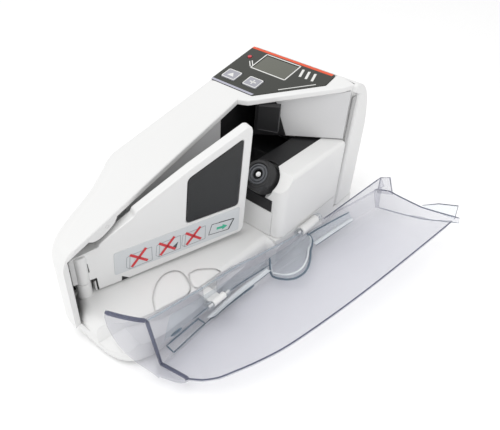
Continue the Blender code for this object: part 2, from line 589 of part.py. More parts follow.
# ---- rear connector and switch ----
JACK = [(-0.4, 1.5), (-0.4, 2.95), (8.0, 2.95), (8.0, 0.6), (6.0, 0.6), (6.0, 1.5)]
dc_jack = ring_profile("dc_jack", (164.0, 1.6, 8.0), Vector((0, -1, 0)), JACK, "black_abs", 24)
switch_frame = box("switch_frame", 140.8, 153.2, -6.0, 1.9, 4.3, 12.7, "black_abs")
cut(switch_frame, box("sf", 141.4, 152.6, -3.0, 4.0, 5.4, 11.6, "black_abs"))
ROCK = [(142.4, 0.9), (147.0, 2.1), (151.6, 3.5), (151.6, 0.4), (147.0, -1.4), (142.4, -0.9)]
power_rocker = prism_z("power_rocker", list(reversed(ROCK)), 5.8, 11.2, "black_abs")

# ---- battery compartment ----
cells = []
for k in range(4):
    cx = 34.4 + 14.0 * k
    cells.append(rod("cell", (cx, -61.8, -10.4), (cx, -15.0, -10.4), 6.6, "cell_jacket", 24))
name_each("battery_cell", cells)
plates = []
for k in range(2):
    cx = 41.4 + 28.0 * k
    plates.append(box("plate", cx - 11, cx + 11, -63.6, -62.9, -15.0, -5.0, "steel"))
    plates.append(box("plate", cx - 11, cx + 11, -13.9, -13.2, -15.0, -5.0, "steel"))
name_each("battery_contact", plates)
battery_door = box("battery_door", 21.9, 88.6, -67.1, -12.1, BASE_Z0, -17.7)
for k in range(3):
    cut(battery_door, box("grip", 78.0 + 2.6 * k, 79.2 + 2.6 * k, -46.0, -30.0, -21.0, -19.4))

# ---- feet, screws ----
FEET = ((8.0, -58.0), (9.0, -31.0), (171.0, -68.0), (171.0, -9.0))
feet = []
for fx, fy in FEET:
    feet.append(rod("foot", (fx, fy, FOOT_Z), (fx, fy, BASE_Z0 - GAP), 4.2, "rubber", 20))
name_each("rubber_foot", feet)
SCREW = [(-19.7, 3.2), (-18.9, 3.2), (-18.6, 1.15), (8.0, 1.15)]
screws = []
for sx, sy in SCREWS:
    screws.append(turned("screw", (sx, sy, 0.0), Vector((0, 0, 1)), SCREW, "steel", 16))
name_each("case_screw", screws)

# ---- clear front cover, drawn closed and then swung open ----
LOBE = [(-10.6, -52.2, -10.2), (-10.8, -56.0, -12.4), (-11.1, -60.9, -12.6), (-10.9, -65.9, -11.8)]
LOBE += [(-10.3, -71.1, -10.9), (-9.1, -75.6, -8.8), (-6.6, -82.0, -6.0), (-2.2, -90.5, -3.4)]
TOP_EDGE = [(-4.0, 6.0), (7.0, 13.8), (13.3, 21.4), (22.9, 27.2), (34.0, 33.1), (50.0, 38.8)]
TOP_EDGE += [(82.7, 46.2), (120.0, 52.7), (178.0, 61.1), (184.0, 62.0)]
STEPS_A = len(LOBE) - 1
STEPS_B = 4
PLATE_Y = -95.8


def cover_section(e, c, top):
    """Points from the free edge e along the bottom wall to the crease c, then up the plate."""
    pts = [tuple(Vector(e).lerp(Vector(c), k / (STEPS_A + 0.35))) for k in range(STEPS_A + 1)]
    for k in range(STEPS_B + 1):
        t = 0.03 + 0.97 * k / STEPS_B
        pts.append((c[0] + (top[0] - c[0]) * t, c[1], c[2] + (top[1] - c[2]) * t))
    return pts


RIGHT_EDGE = [(-20.0, 183.5), (11.0, 182.6), (28.5, 178.9), (44.0, 176.6)]
RIGHT_EDGE += [(61.0, 178.0), (80.0, 179.0)]


def plate_right(z):
    """Right-hand limit of the plate at height z."""
    return along(RIGHT_EDGE, z, 1)


columns = [list(LOBE) + [(-0.8 + k * 0.5, -92.6, -3.0 + 2.6 * k) for k in range(STEPS_B + 1)]]
columns.append(cover_section((1.2, -61.8, 0.2), (6.2, PLATE_Y, -4.4), (6.4, 11.0)))
STATIONS = (9.0, 14.0, 20.0, 28.0, 38.0, 51.0, 65.0, 77.0, 89.5)
STATIONS += (97.0, 105.0, 113.0, 120.6, 139.0, 158.0)
for x in STATIONS + (172.0, 183.6):
    e = (x, along(EDGE, x, 1), along(EDGE, x, 2) + 0.3)
    c = (x, PLATE_Y, along(CREASE, x, 1))
    column = cover_section(e, c, (x, along(TOP_EDGE, x, 1)))
    if x > 180:
        column = [(min(q[0], plate_right(q[2])), q[1], q[2]) for q in column]
    columns.append(column)


def sheet_solid(name, grid, thick, slot):
    """Solid of even thickness behind a grid of points, offset toward the vertex normals."""
    rows, cols = len(grid), len(grid[0])
    pts = [[Vector(q) for q in row] for row in grid]

    def normal(i, j):
        n = Vector((0, 0, 0))
        for di, dj, ei, ej in ((1, 0, 0, 1), (0, 1, -1, 0), (-1, 0, 0, -1), (0, -1, 1, 0)):
            a, b, c, d = i + di, j + dj, i + ei, j + ej
            if 0 <= a < rows and 0 <= b < cols and 0 <= c < rows and 0 <= d < cols:
                n += (pts[a][b] - pts[i][j]).cross(pts[c][d] - pts[i][j]).normalized()
        return n.normalized()

    bm = bmesh.new()
    outer = [[bm.verts.new(metres(pts[i][j])) for j in range(cols)] for i in range(rows)]
    inner = []
    for i in range(rows):
        inner.append([bm.verts.new(metres(pts[i][j] + normal(i, j) * thick)) for j in range(cols)])
    for i in range(rows - 1):
        for j in range(cols - 1):
            bm.faces.new((outer[i][j], outer[i + 1][j], outer[i + 1][j + 1], outer[i][j + 1]))
            bm.faces.new((inner[i][j], inner[i][j + 1], inner[i + 1][j + 1], inner[i + 1][j]))
    rim = [(i, 0) for i in range(rows)] + [(rows - 1, j) for j in range(1, cols)]
    rim += [(i, cols - 1) for i in range(rows - 2, -1, -1)] + [(0, j) for j in range(cols - 2, 0, -1)]
    for (a, b), (c, d) in zip(rim, rim[1:] + rim[:1]):
        bm.faces.new((outer[a][b], inner[a][b], inner[c][d], outer[c][d]))
    return finish(name, bm, slot)


clear_cover = sheet_solid("clear_cover", columns, 1.7, "clear_pc")
END_WALL = ((9.5, -83.4), (14.0, -82.6), (21.0, -82.0), (28.5, -82.4), (44.0, -83.6))
END_WALL += ((56.0, -84.2), (65.8, -84.4))
wall_rows = []
for z, y_back in END_WALL:
    xr = plate_right(z)
    wall_rows.append([(xr, PLATE_Y + 0.02, z), (xr + 0.5, -90.0, z), (xr + 0.9, y_back, z)])
weld(clear_cover, sheet_solid("wall", wall_rows, 1.7, "clear_pc"))
weld(clear_cover, box("lip", 171.6, 178.4, -92.2, -84.6, 64.0, 65.6, "clear_pc"))
ear = [(182.3, -84.9, 12.0), (182.3, -84.9, 22.5), (184.0, -73.6, 21.2), (184.0, -74.4, 14.6)]
weld(clear_cover, loft("ear", [ear, [(x + 1.4, y, z) for x, y, z in ear]], "clear_pc"))
# knuckles on the hinge axis and room for the lugs
for x0, x1 in LUGS:
    for k0, k1 in ((x0 - 3.7, x0 - 0.55), (x1 + 0.55, x1 + 3.7)):
        disc = hinge_rod("disc", k0, k1, 2.3, "clear_pc")
        xm = (k0 + k1) / 2
        run = (along(EDGE, xm, 1) - HINGE_Y + 2.6) / (along(EDGE, xm, 1) - PLATE_Y)
        wall_z = along(EDGE, xm, 2) + (along(CREASE, xm, 1) - along(EDGE, xm, 2)) * run
        z0, z1 = min(wall_z + 0.6, HINGE_Z - 0.4), max(wall_z + 1.2, HINGE_Z + 0.2)
        strut = [(k0 + 0.31, z0), (k1 - 0.27, z0), (k1 - 0.27, z1), (k0 + 0.31, z1)]
        weld(disc, prism_y("strut", strut, HINGE_Y - 4.6, HINGE_Y - 0.6, "clear_pc"))
        weld(clear_cover, disc)
    swept = hinge_rod("swept", x0 - 0.45, x1 + 0.45, 3.2, "clear_pc", 24)
    cut(clear_cover, swept)
    slot = box("slot", x0 - 0.45, x1 + 0.45, HINGE_Y - 2.0, -60.0, -12.0, 6.0, "clear_pc")
    cut(clear_cover, slot)
for x0, x1 in LUGS:
    cut(clear_cover, hinge_rod("hole", x0 - 5, x1 + 5, 1.3, "clear_pc"))
pins = []
for x0, x1 in LUGS:
    pins.append(hinge_rod("pin", x0 - 3.3, x1 + 3.3, 1.0, "steel"))
name_each("cover_pin", pins)

OPEN = Matrix.Rotation(math.radians(70.0), 4, "X")
hinge = metres((0.0, HINGE_Y, HINGE_Z))
clear_cover.data.transform(Matrix.Translation(hinge) @ OPEN @ Matrix.Translation(-hinge))

# ---- origins of the moving pieces ----
set_origin(clear_cover, (84.6, HINGE_Y, HINGE_Z))
for piece in (pressure_arm, arm_pad, arm_label):
    set_origin(piece, (*ARM_AXIS, 0.0))
for piece in (feed_tyre, roller_hub, roller_shaft, drive_gear):
    set_origin(piece, ROLLER_AT)
for piece in (motor_pinion, motor_shaft):
    set_origin(piece, MOTOR_AT)
for key, (kx, ky) in KEYS.items():
    set_origin(bpy.data.objects[key], (kx, ky, plane_z(kx)))
set_origin(power_rocker, (147.0, 0.0, 8.5))
set_origin(battery_door, (88.9, -39.6, BASE_Z0))
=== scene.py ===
# Handheld banknote counter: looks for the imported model. Places are in grid units (one unit is
# U metres): x runs along the case from the nose to the thick end, y to the back, z up.
import json
import math

import bmesh
import bpy
from mathutils import Matrix, Vector


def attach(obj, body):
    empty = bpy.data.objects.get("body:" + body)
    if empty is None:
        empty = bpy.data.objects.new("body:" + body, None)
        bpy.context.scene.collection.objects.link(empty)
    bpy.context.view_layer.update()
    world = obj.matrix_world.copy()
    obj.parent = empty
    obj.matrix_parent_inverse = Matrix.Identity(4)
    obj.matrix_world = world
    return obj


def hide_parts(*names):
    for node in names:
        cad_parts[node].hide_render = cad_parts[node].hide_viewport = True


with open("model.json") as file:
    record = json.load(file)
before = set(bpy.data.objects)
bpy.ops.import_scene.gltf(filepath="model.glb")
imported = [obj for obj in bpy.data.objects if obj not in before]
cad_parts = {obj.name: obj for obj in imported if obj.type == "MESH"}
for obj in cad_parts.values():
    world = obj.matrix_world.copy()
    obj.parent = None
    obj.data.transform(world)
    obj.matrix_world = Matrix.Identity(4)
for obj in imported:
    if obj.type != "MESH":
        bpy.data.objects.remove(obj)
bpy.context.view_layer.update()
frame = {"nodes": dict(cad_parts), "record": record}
NODES = frame["nodes"]

U = 0.00108
ORIGIN = (86.4, -73.3, -21.7)
SLOPE = math.tan(math.radians(12.9))
PANEL_X = 162.3
PANEL_Z = 75.0
ARM_AXIS = (0.0, -30.7)
ARM_SWING = math.radians(-17.0)
ROLLER_AT = (97.3, -60.0, 38.6)
AXIS = Vector((-1.0, 0.0, 1.0)).normalized()
HINGE_Y = -80.6
HINGE_Z = -2.6
PIN_HOLE = 1.35
UP = Vector((0, 0, 1))
ALONG = Vector((1, 0, 0))

# camera: turn, height and roll in degrees, place in grid units, focal length over sensor width
CAMERA_TURN = -50.51
CAMERA_HEIGHT = 38.06
CAMERA_ROLL = 2.63
CAMERA_AT = (-87.8, -197.2, 196.7)
CAMERA_FOCAL = 1.0266
CAMERA_SHIFT = (0.0312, -0.0204)
SENSOR = 36.0


def M(p):
    return Vector([(p[i] - ORIGIN[i]) * U for i in range(3)])


def plane_z(x, drop=0.0):
    return PANEL_Z + (x - PANEL_X) * SLOPE - drop


# ------------------------------------------------------------------ camera, lights, floor
def camera():
    az, el, roll = [math.radians(a) for a in (CAMERA_TURN, CAMERA_HEIGHT, CAMERA_ROLL)]
    back = Vector((math.sin(az) * math.cos(el), -math.cos(az) * math.cos(el), math.sin(el)))
    right = UP.cross(back).normalized()
    up = back.cross(right)
    r = right * math.cos(roll) + up * math.sin(roll)
    u = up * math.cos(roll) - right * math.sin(roll)
    cam = bpy.data.cameras.new("camera")
    cam.sensor_width = SENSOR
    cam.lens = SENSOR * CAMERA_FOCAL
    cam.shift_x, cam.shift_y = CAMERA_SHIFT
    cam.clip_start = 0.01
    obj = bpy.data.objects.new("camera", cam)
    bpy.context.scene.collection.objects.link(obj)
    mat = Matrix((r, u, back)).transposed().to_4x4()
    mat.translation = M(CAMERA_AT)
    obj.matrix_world = mat
    bpy.context.scene.camera = obj


def area(name, at, target, size, power):
    """Soft white rectangular light at one place, facing another."""
    light = bpy.data.lights.new(name, "AREA")
    light.shape = "RECTANGLE"
    light.size, light.size_y = size
    light.energy = power
    obj = bpy.data.objects.new(name, light)
    bpy.context.scene.collection.objects.link(obj)
    d = Vector(at) - Vector(target)
    obj.matrix_world = Matrix.Translation(at) @ d.to_track_quat("Z", "Y").to_matrix().to_4x4()


def studio():
    scene = bpy.context.scene
    scene.view_settings.view_transform = "Standard"
    scene.view_settings.look = "None"
    world = bpy.data.worlds.new("studio")
    world.use_nodes = True
    scene.world = world
    bg = world.node_tree.nodes["Background"]
    bg.inputs["Color"].default_value = (1.0, 1.0, 1.0, 1.0)
    bg.inputs["Strength"].default_value = 0.92
    centre = (0.0, 0.0, 0.05)
    area("key", (-0.30, 0.10, 0.75), centre, (0.5, 0.5), 1.9)
    area("fill", (-0.55, -0.65, 0.45), centre, (0.6, 0.4), 0.7)


camera()
studio()


# ------------------------------------------------------------------ materials
def principled(name):
    mat = bpy.data.materials.new(name)
    mat.use_nodes = True
    return mat, mat.node_tree, mat.node_tree.nodes["Principled BSDF"]


def node(tree, kind, **values):
    n = tree.nodes.new(kind)
    for k, v in values.items():
        if k in n.inputs:
            n.inputs[k].default_value = v
        else:
            setattr(n, k, v)
    return n


def tone(tree, coords, colour, vary, scale=14.0):
    """Broad noise, and a ramp that varies the colour with it."""
    broad = node(tree, "ShaderNodeTexNoise", Scale=scale, Detail=3.0, Roughness=0.5)
    tree.links.new(coords.outputs["Object"], broad.inputs["Vector"])
    ramp = node(tree, "ShaderNodeValToRGB")
    ramp.color_ramp.elements[0].position = 0.3
    ramp.color_ramp.elements[0].color = (*[c * (1.0 - vary) for c in colour], 1.0)
    ramp.color_ramp.elements[1].position = 0.7
    ramp.color_ramp.elements[1].color = (*[min(1.0, c * (1.0 + vary * 0.4)) for c in colour], 1.0)
    tree.links.new(broad.outputs["Fac"], ramp.inputs["Fac"])
    return broad, ramp


def moulded(name, colour, rough, grain=0.0, grain_scale=900.0, vary=0.03, coat=0.0, metal=0.0,
            edge=0.0):
    """Moulded plastic: slight tone variation, roughness mottling, fine grain, softened edges."""
    mat, tree, bsdf = principled(name)
    coords = node(tree, "ShaderNodeTexCoord")
    broad, ramp = tone(tree, coords, colour, vary)
    tree.links.new(ramp.outputs["Color"], bsdf.inputs["Base Color"])
    mix = node(tree, "ShaderNodeMapRange")
    mix.inputs["To Min"].default_value = max(0.02, rough - 0.05)
    mix.inputs["To Max"].default_value = rough + 0.05
    tree.links.new(broad.outputs["Fac"], mix.inputs["Value"])
    tree.links.new(mix.outputs["Result"], bsdf.inputs["Roughness"])
    rounding = None
    if edge > 0:
        rounding = node(tree, "ShaderNodeBevel", Radius=edge)
        rounding.samples = 6
    if grain > 0:
        fine = node(tree, "ShaderNodeTexNoise", Scale=grain_scale, Detail=2.0, Roughness=0.6)
        tree.links.new(coords.outputs["Object"], fine.inputs["Vector"])
        bump = node(tree, "ShaderNodeBump", Strength=grain, Distance=0.0001)
        tree.links.new(fine.outputs["Fac"], bump.inputs["Height"])
        if rounding:
            tree.links.new(rounding.outputs["Normal"], bump.inputs["Normal"])
        tree.links.new(bump.outputs["Normal"], bsdf.inputs["Normal"])
    elif rounding:
        tree.links.new(rounding.outputs["Normal"], bsdf.inputs["Normal"])
    bsdf.inputs["Metallic"].default_value = metal
    bsdf.inputs["Coat Weight"].default_value = coat
    bsdf.inputs["Coat Roughness"].default_value = 0.08
    return mat


WHITE = moulded("white_shell", (0.735, 0.735, 0.73), 0.34, 0.05, 1400.0, 0.012, 0.12, edge=0.0006)
# mid grey for the walls inside the case: painted shade, standing for white plastic that lies in shadow
SHADE_GREY = moulded("grey_inner_painted_shade", (0.60, 0.60, 0.605), 0.5, 0.08, 1200.0, 0.03, edge=0.0004)
BLACK = moulded("black_inner", (0.006, 0.006, 0.007), 0.45, 0.15, 1000.0, 0.2, edge=0.0006)
PADBLACK = moulded("black_pad", (0.007, 0.008, 0.008), 0.42, 0.10, 2200.0, 0.4, 0.15, edge=0.0004)
RUBBER = moulded("tyre_rubber", (0.012, 0.012, 0.013), 0.50, 0.3, 1600.0, 0.3)
STEEL = moulded("turned_steel", (0.80, 0.80, 0.80), 0.25, 0.05, 900.0, 0.05, 0.0, 1.0)
BRASS = moulded("machined_brass", (0.78, 0.6, 0.3), 0.3, 0.05, 900.0, 0.05, 0.0, 1.0)
# darker grey for the strip in the pillar channel: painted shade
GROOVE_SHADE = moulded("groove_painted_shade", (0.40, 0.40, 0.40), 0.5, 0.08, 1200.0, 0.05)
HUBGREY = moulded("hub_grey", (0.10, 0.105, 0.115), 0.28, 0.05, 1200.0, 0.1, edge=0.0003)
# dark grey a little lighter than the black: painted highlight on the sensor hood's edges
HOOD_HIGHLIGHT = moulded("hood_painted_highlight", (0.05, 0.05, 0.053), 0.4, 0.05, 900.0, 0.1)
MEMBRANE = moulded("panel_film", (0.026, 0.028, 0.022), 0.40, 0.12, 2600.0, 0.12)
KEYCAP = moulded("key_lilac", (0.33, 0.33, 0.37), 0.42, 0.1, 2000.0, 0.05)
LCD = moulded("lcd_face", (0.085, 0.088, 0.066), 0.16, 0.0, 900.0, 0.12, 0.5)
LEDRED = moulded("led_lens", (0.50, 0.015, 0.03), 0.15, 0.0, 900.0, 0.05, 0.8)
BOARD = moulded("board_green", (0.03, 0.16, 0.06), 0.4, 0.2, 700.0, 0.3)
JACKET = moulded("cell_jacket", (0.05, 0.1, 0.28), 0.3, 0.02, 900.0, 0.05, 0.4)
LABEL = moulded("label_film", (0.60, 0.62, 0.635), 0.30, 0.02, 1800.0, 0.04, 0.25)
INK_ORANGE = moulded("ink_orange", (0.72, 0.085, 0.025), 0.42, 0.05, 2400.0, 0.06)
INK_WHITE = moulded("ink_white", (0.72, 0.72, 0.70), 0.45, 0.05, 2400.0, 0.04)
INK_LILAC = moulded("ink_lilac", (0.42, 0.42, 0.50), 0.45, 0.05, 2400.0, 0.04)
INK_RED = moulded("ink_red", (0.60, 0.035, 0.045), 0.45, 0.05, 2400.0, 0.08)
INK_GREEN = moulded("ink_green", (0.05, 0.45, 0.28), 0.45, 0.05, 2400.0, 0.08)
INK_DARK = moulded("ink_dark", (0.06, 0.065, 0.07), 0.45, 0.05, 2400.0, 0.08)
INK_GREY = moulded("ink_grey", (0.30, 0.32, 0.34), 0.45, 0.05, 2400.0, 0.08)


def clear(name, tint, body, low, high, rough=0.08, vary=0.03):
    """Tinted clear plastic: lets light through head on and turns denser towards grazing angles."""
    mat, tree, bsdf = principled(name)
    out = tree.nodes["Material Output"]
    coords = node(tree, "ShaderNodeTexCoord")
    broad, ramp = tone(tree, coords, tint, vary, 9.0)
    through = node(tree, "ShaderNodeBsdfTransparent")
    tree.links.new(ramp.outputs["Color"], through.inputs["Color"])
    bsdf.inputs["Base Color"].default_value = (*body, 1.0)
    bsdf.inputs["Roughness"].default_value = rough
    facing = node(tree, "ShaderNodeLayerWeight", Blend=0.35)
    span = node(tree, "ShaderNodeMapRange")
    span.inputs["To Min"].default_value = low
    span.inputs["To Max"].default_value = high
    tree.links.new(facing.outputs["Facing"], span.inputs["Value"])
    mix = node(tree, "ShaderNodeMixShader")
    tree.links.new(span.outputs["Result"], mix.inputs["Fac"])
    tree.links.new(through.outputs["BSDF"], mix.inputs[1])
    tree.links.new(bsdf.outputs["BSDF"], mix.inputs[2])
    tree.links.new(mix.outputs["Shader"], out.inputs["Surface"])
    return mat


CLEAR = clear("clear_pc", (0.925, 0.925, 0.94), (0.66, 0.665, 0.71), 0.06, 0.5)
CLEAR_RIM = clear("clear_rim", (0.44, 0.46, 0.54), (0.19, 0.20, 0.27), 0.35, 0.85)
CLEAR_BLUE = clear("clear_blue", (0.90, 0.935, 0.955), (0.66, 0.73, 0.77), 0.08, 0.45)
CLEAR_HINT = clear("clear_hint", (0.965, 0.975, 0.985), (0.78, 0.82, 0.85), 0.04, 0.3)
CLEAR_LINE = clear("clear_line", (0.55, 0.62, 0.68), (0.25, 0.32, 0.38), 0.30, 0.8)
# near-white clear: painted highlight, for the ribs along the crease and the scoop's inner lip
CLEAR_HIGHLIGHT = clear("clear_painted_highlight", (0.97, 0.98, 0.99), (0.90, 0.93, 0.95), 0.55, 0.9)

LOOK = {
    "white_abs": WHITE, "grey_abs": SHADE_GREY, "black_abs": BLACK, "black_gloss": PADBLACK, "clear_pc": CLEAR,
    "membrane": MEMBRANE, "lilac_keys": KEYCAP, "lcd_glass": LCD, "led_red": LEDRED, "rubber": RUBBER,
    "steel": STEEL, "brass": BRASS, "pcb_green": BOARD, "cell_jacket": JACKET, "label_film": LABEL,
}
for part in frame["record"]["subparts"]:
    obj = NODES[part["node"]]
    obj.data.materials.clear()
    obj.data.materials.append(LOOK[part["material_slot"]])


# ------------------------------------------------------------------ mesh helpers
def raw(name, bm):
    """Object from a bmesh, its doubles merged and its normals facing out."""
    bmesh.ops.remove_doubles(bm, verts=bm.verts, dist=1e-6)
    bmesh.ops.recalc_face_normals(bm, faces=bm.faces)
    mesh = bpy.data.meshes.new(name)
    bm.to_mesh(mesh)
    bm.free()
    obj = bpy.data.objects.new(name, mesh)
    bpy.context.scene.collection.objects.link(obj)
    return obj


def loft(name, loops):
    """Closed solid through loops of equal length, capped at both ends."""
    bm = bmesh.new()
    rows = [[bm.verts.new(M(p)) for p in loop] for loop in loops]
    for a, b in zip(rows, rows[1:]):
        for i in range(len(a)):
            j = (i + 1) % len(a)
            bm.faces.new((a[i], a[j], b[j], b[i]))
    bm.faces.new(list(reversed(rows[0])))
    bm.faces.new(rows[-1])
    return raw(name, bm)


def prism_z(name, poly, z0, z1):
    low = z0 if callable(z0) else (lambda x: z0)
    high = z1 if callable(z1) else (lambda x: z1)
    return loft(name, [[(x, y, low(x)) for x, y in poly], [(x, y, high(x)) for x, y in poly]])


def prism_y(name, poly, y0, y1):
    return loft(name, [[(x, y0, z) for x, z in poly], [(x, y1, z) for x, z in poly]])


def box(name, x0, x1, y0, y1, z0, z1):
    return prism_z(name, [(x0, y0), (x1, y0), (x1, y1), (x0, y1)], z0, z1)


def frame_of(direction):
    side = Vector((0, 1, 0)) if abs(direction.y) < 0.9 else Vector((1, 0, 0))
    u = direction.cross(side).normalized()
    return u, direction.cross(u).normalized()


def turned(name, at, direction, profile, sides=64):
    """Solid of revolution from (distance, radius) pairs along a direction."""
    u, v = frame_of(direction)
    loops = []
    for s, r in profile:
        ring = []
        for k in range(sides):
            t = 2 * math.pi * k / sides
            ring.append(Vector(at) + direction * s + (u * math.cos(t) + v * math.sin(t)) * r)
        loops.append(ring)
    return loft(name, loops)


def rod(name, p0, p1, r, sides=32):
    d = Vector(p1) - Vector(p0)
    return turned(name, p0, d.normalized(), [(0.0, r), (d.length, r)], sides)


def ring_of(name, at, direction, profile, sides=96):
    """Closed profile of (distance, radius) pairs swept round an axis."""
    u, v = frame_of(direction)
    bm = bmesh.new()
    rows = []
    for k in range(sides):
        t = 2 * math.pi * k / sides
        radial = u * math.cos(t) + v * math.sin(t)
        rows.append([bm.verts.new(M(Vector(at) + direction * s + radial * r)) for s, r in profile])
    for k in range(sides):
        a, b = rows[k], rows[(k + 1) % sides]
        for i in range(len(profile)):
            j = (i + 1) % len(profile)
            bm.faces.new((a[i], a[j], b[j], b[i]))
    return raw(name, bm)


def combine(target, tool, operation):
    mod = target.modifiers.new("op", "BOOLEAN")
    mod.operation = operation
    mod.object = tool
    mod.solver = "EXACT"
    graph = bpy.context.evaluated_depsgraph_get()
    result = bpy.data.meshes.new_from_object(target.evaluated_get(graph))
    target.modifiers.clear()
    target.data = result
    bm = bmesh.new()
    bm.from_mesh(target.data)
    bmesh.ops.remove_doubles(bm, verts=bm.verts, dist=3e-6)
    bmesh.ops.dissolve_degenerate(bm, edges=bm.edges, dist=3e-6)
    bm.to_mesh(target.data)
    bm.free()
    bpy.data.objects.remove(tool, do_unlink=True)
    return target


def cut(target, *tools):
    for tool in tools:
        combine(target, tool, "DIFFERENCE")
    return target


def weld(target, *tools):
    for tool in tools:
        combine(target, tool, "UNION")
    return target


def show(obj, mat, body="root", replaces=(), sharp=32.0, weighted=True, extra=()):
    """Shades the piece, gives it its material and body, and hides the CAD nodes it stands for."""
    bm = bmesh.new()
    bm.from_mesh(obj.data)
    limit = math.radians(sharp)
    for face in bm.faces:
        face.smooth = True
    for edge in bm.edges:
        edge.smooth = len(edge.link_faces) == 2 and edge.calc_face_angle(0.0) < limit
    bm.to_mesh(obj.data)
    bm.free()
    obj.data.materials.clear()
    for m in (mat, *extra):
        obj.data.materials.append(m)
    if weighted:
        mod = obj.modifiers.new("shade", "WEIGHTED_NORMAL")
        mod.keep_sharp = True
        mod.weight = 90
    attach(obj, body)
    if replaces:
        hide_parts(*replaces)
    return obj


def quarter(steps):
    """Quarter round in even steps: pairs of (1 - cos, 1 - sin)."""
    angles = [math.radians(90.0 * k / steps) for k in range(steps + 1)]
    return [(1 - math.cos(t), 1 - math.sin(t)) for t in angles]


def normal_in(a, b):
    d = (Vector(b) - Vector(a)).normalized()
    return Vector((-d.y, d.x))


def inset_by(poly, dists):
    """Plan polygon moved inward, each edge by its own distance; edge i starts at point i."""
    n = len(poly)
    out = []
    for i in range(n):
        na = normal_in(poly[i - 1], poly[i])
        nb = normal_in(poly[i], poly[(i + 1) % n])
        da, db = dists[i - 1], dists[i]
        det = na.x * nb.y - na.y * nb.x
        if abs(det) < 0.25:
            m = (na + nb).normalized()
            step = m * ((da + db) / 2 / max(0.35, m.dot(na)))
        else:
            step = Vector(((da * nb.y - db * na.y) / det, (na.x * db - nb.x * da) / det))
        out.append((poly[i][0] + step.x, poly[i][1] + step.y))
    return out


def inset(poly, d):
    return inset_by(poly, [d] * len(poly))


def arc(cx, cy, r, a0, a1, steps):
    out = []
    for k in range(steps + 1):
        t = math.radians(a0 + (a1 - a0) * k / steps)
        out.append((cx + r * math.cos(t), cy + r * math.sin(t)))
    return out


def flow(points, per=3):
    """Smooth curve through open points of any dimension."""
    pts = [Vector(p) for p in points]
    out = []
    for i in range(len(pts) - 1):
        p0, p1 = pts[max(0, i - 1)], pts[i]
        p2, p3 = pts[i + 1], pts[min(len(pts) - 1, i + 2)]
        for k in range(per):
            t = k / per
            a = p1 * 2 + (p2 - p0) * t + (p0 * 2 - p1 * 5 + p2 * 4 - p3) * (t * t)
            out.append(tuple((a + (p1 * 3 - p0 - p2 * 3 + p3) * (t ** 3)) * 0.5))
    out.append(tuple(pts[-1]))
    return out


def rounded(poly, r, steps=4):
    """Polygon with each corner replaced by a short curve that starts r from it."""
    out = []
    n = len(poly)
    for i in range(n):
        p, q, s = Vector(poly[i - 1]), Vector(poly[i]), Vector(poly[(i + 1) % n])
        ra = min(r, (p - q).length * 0.45)
        rb = min(r, (s - q).length * 0.45)
        a, b = q + (p - q).normalized() * ra, q + (s - q).normalized() * rb
        for k in range(steps + 1):
            t = k / steps
            out.append(tuple(a * (1 - t) ** 2 + q * 2 * t * (1 - t) + b * t * t))
    return out


def soft_prism(name, poly, place, d0, d1, r0=0.6, r1=0.6, steps=3):
    """Outline extruded from depth d0 to d1 through place(u, v, depth), both rims rounded."""
    layers = [(d0 + r0 * rise, r0 * fall) for rise, fall in quarter(steps)]
    layers += [(d1 - r1 * fall, r1 * rise) for rise, fall in quarter(steps)]
    loops = []
    for d, move in layers:
        loops.append([place(u, v, d) for u, v in inset(poly, move)])
    return loft(name, loops)


def decal(name, polys, place, low, high):
    """Thin flat shapes as low solids: print, and painted shade in the arm's gaps."""
    bm = bmesh.new()
    for poly in polys:
        rows = [[bm.verts.new(M(place(u, v, d))) for u, v in poly] for d in (low, high)]
        for i in range(len(poly)):
            j = (i + 1) % len(poly)
            bm.faces.new((rows[0][i], rows[0][j], rows[1][j], rows[1][i]))
        bm.faces.new(list(reversed(rows[0])))
        bm.faces.new(rows[1])
    bmesh.ops.recalc_face_normals(bm, faces=bm.faces)
    mesh = bpy.data.meshes.new(name)
    bm.to_mesh(mesh)
    bm.free()
    obj = bpy.data.objects.new(name, mesh)
    bpy.context.scene.collection.objects.link(obj)
    return obj


def stroke(a, b, w):
    """Straight bar from a to b, w wide, for print and for painted gap shade."""
    d = (Vector(b) - Vector(a)).normalized()
    n = Vector((-d.y, d.x)) * (w / 2)
    a, b = Vector(a), Vector(b)
    return [tuple(a - n), tuple(b - n), tuple(b + n), tuple(a + n)]


def outline(points, w, closed=True):
    ends = points[1:] + points[:1] if closed else points[1:]
    return [stroke(a, b, w) for a, b in zip(points, ends)]


def along(table, x, column):
    """Value in a column of a table, read between its rows at x."""
    for a, b in zip(table, table[1:]):
        if a[0] <= x <= b[0]:
            return a[column] + (b[column] - a[column]) * (x - a[0]) / (b[0] - a[0])
    return table[-1][column]


# ------------------------------------------------------------------ rear shell
BACK = [(60.0, 2.5), (49.0, 2.5), (43.0, 0.9), (36.0, -3.2), (23.0, -9.8), (10.0, -14.0), (0.0, -17.6)]
BACK += [(-7.0, -21.8), (-11.0, -27.3), (-12.5, -33.4), (-12.6, -38.6)]
BACK_RUN = arc(174.5, -6.0, 8.5, 0, 90, 8) + flow(BACK[:-1], 3) + BACK[-1:]
FRONT = [(-4.4, -37.75), (116.0, -28.2), (118.0, -34.0), (155.4, -72.2), (160.0, -74.9)]
PILLAR = arc(162.4, -75.5, 2.4, 180, 270, 5)
CORNER = arc(178.6, -73.5, 4.4, 270, 360, 6)
PLAN = CORNER + BACK_RUN + FRONT + PILLAR
RADII = [4.0] * len(CORNER) + [7.5] * (len(BACK_RUN) - 1) + [0.9] * (len(FRONT) + 1)
RADII += [0.9, 1.4, 1.8, 1.8, 1.8][: len(PLAN) - len(RADII) - 1] + [3.0]
END_CURVE = [(183.4, -14.0), (183.0, 5.0), (182.3, 20.0), (180.7, 36.0), (178.4, 50.0), (176.3, 59.0)]
END_CURVE += [(173.8, 65.6), (170.6, 70.6), (167.0, 73.8), (163.0, 75.85), (158.0, 76.6)]
OVERLAY = [(162.3, -62.2), (162.3, -1.2), (122.5, -1.2), (122.5, -33.1), (151.4, -62.6)]


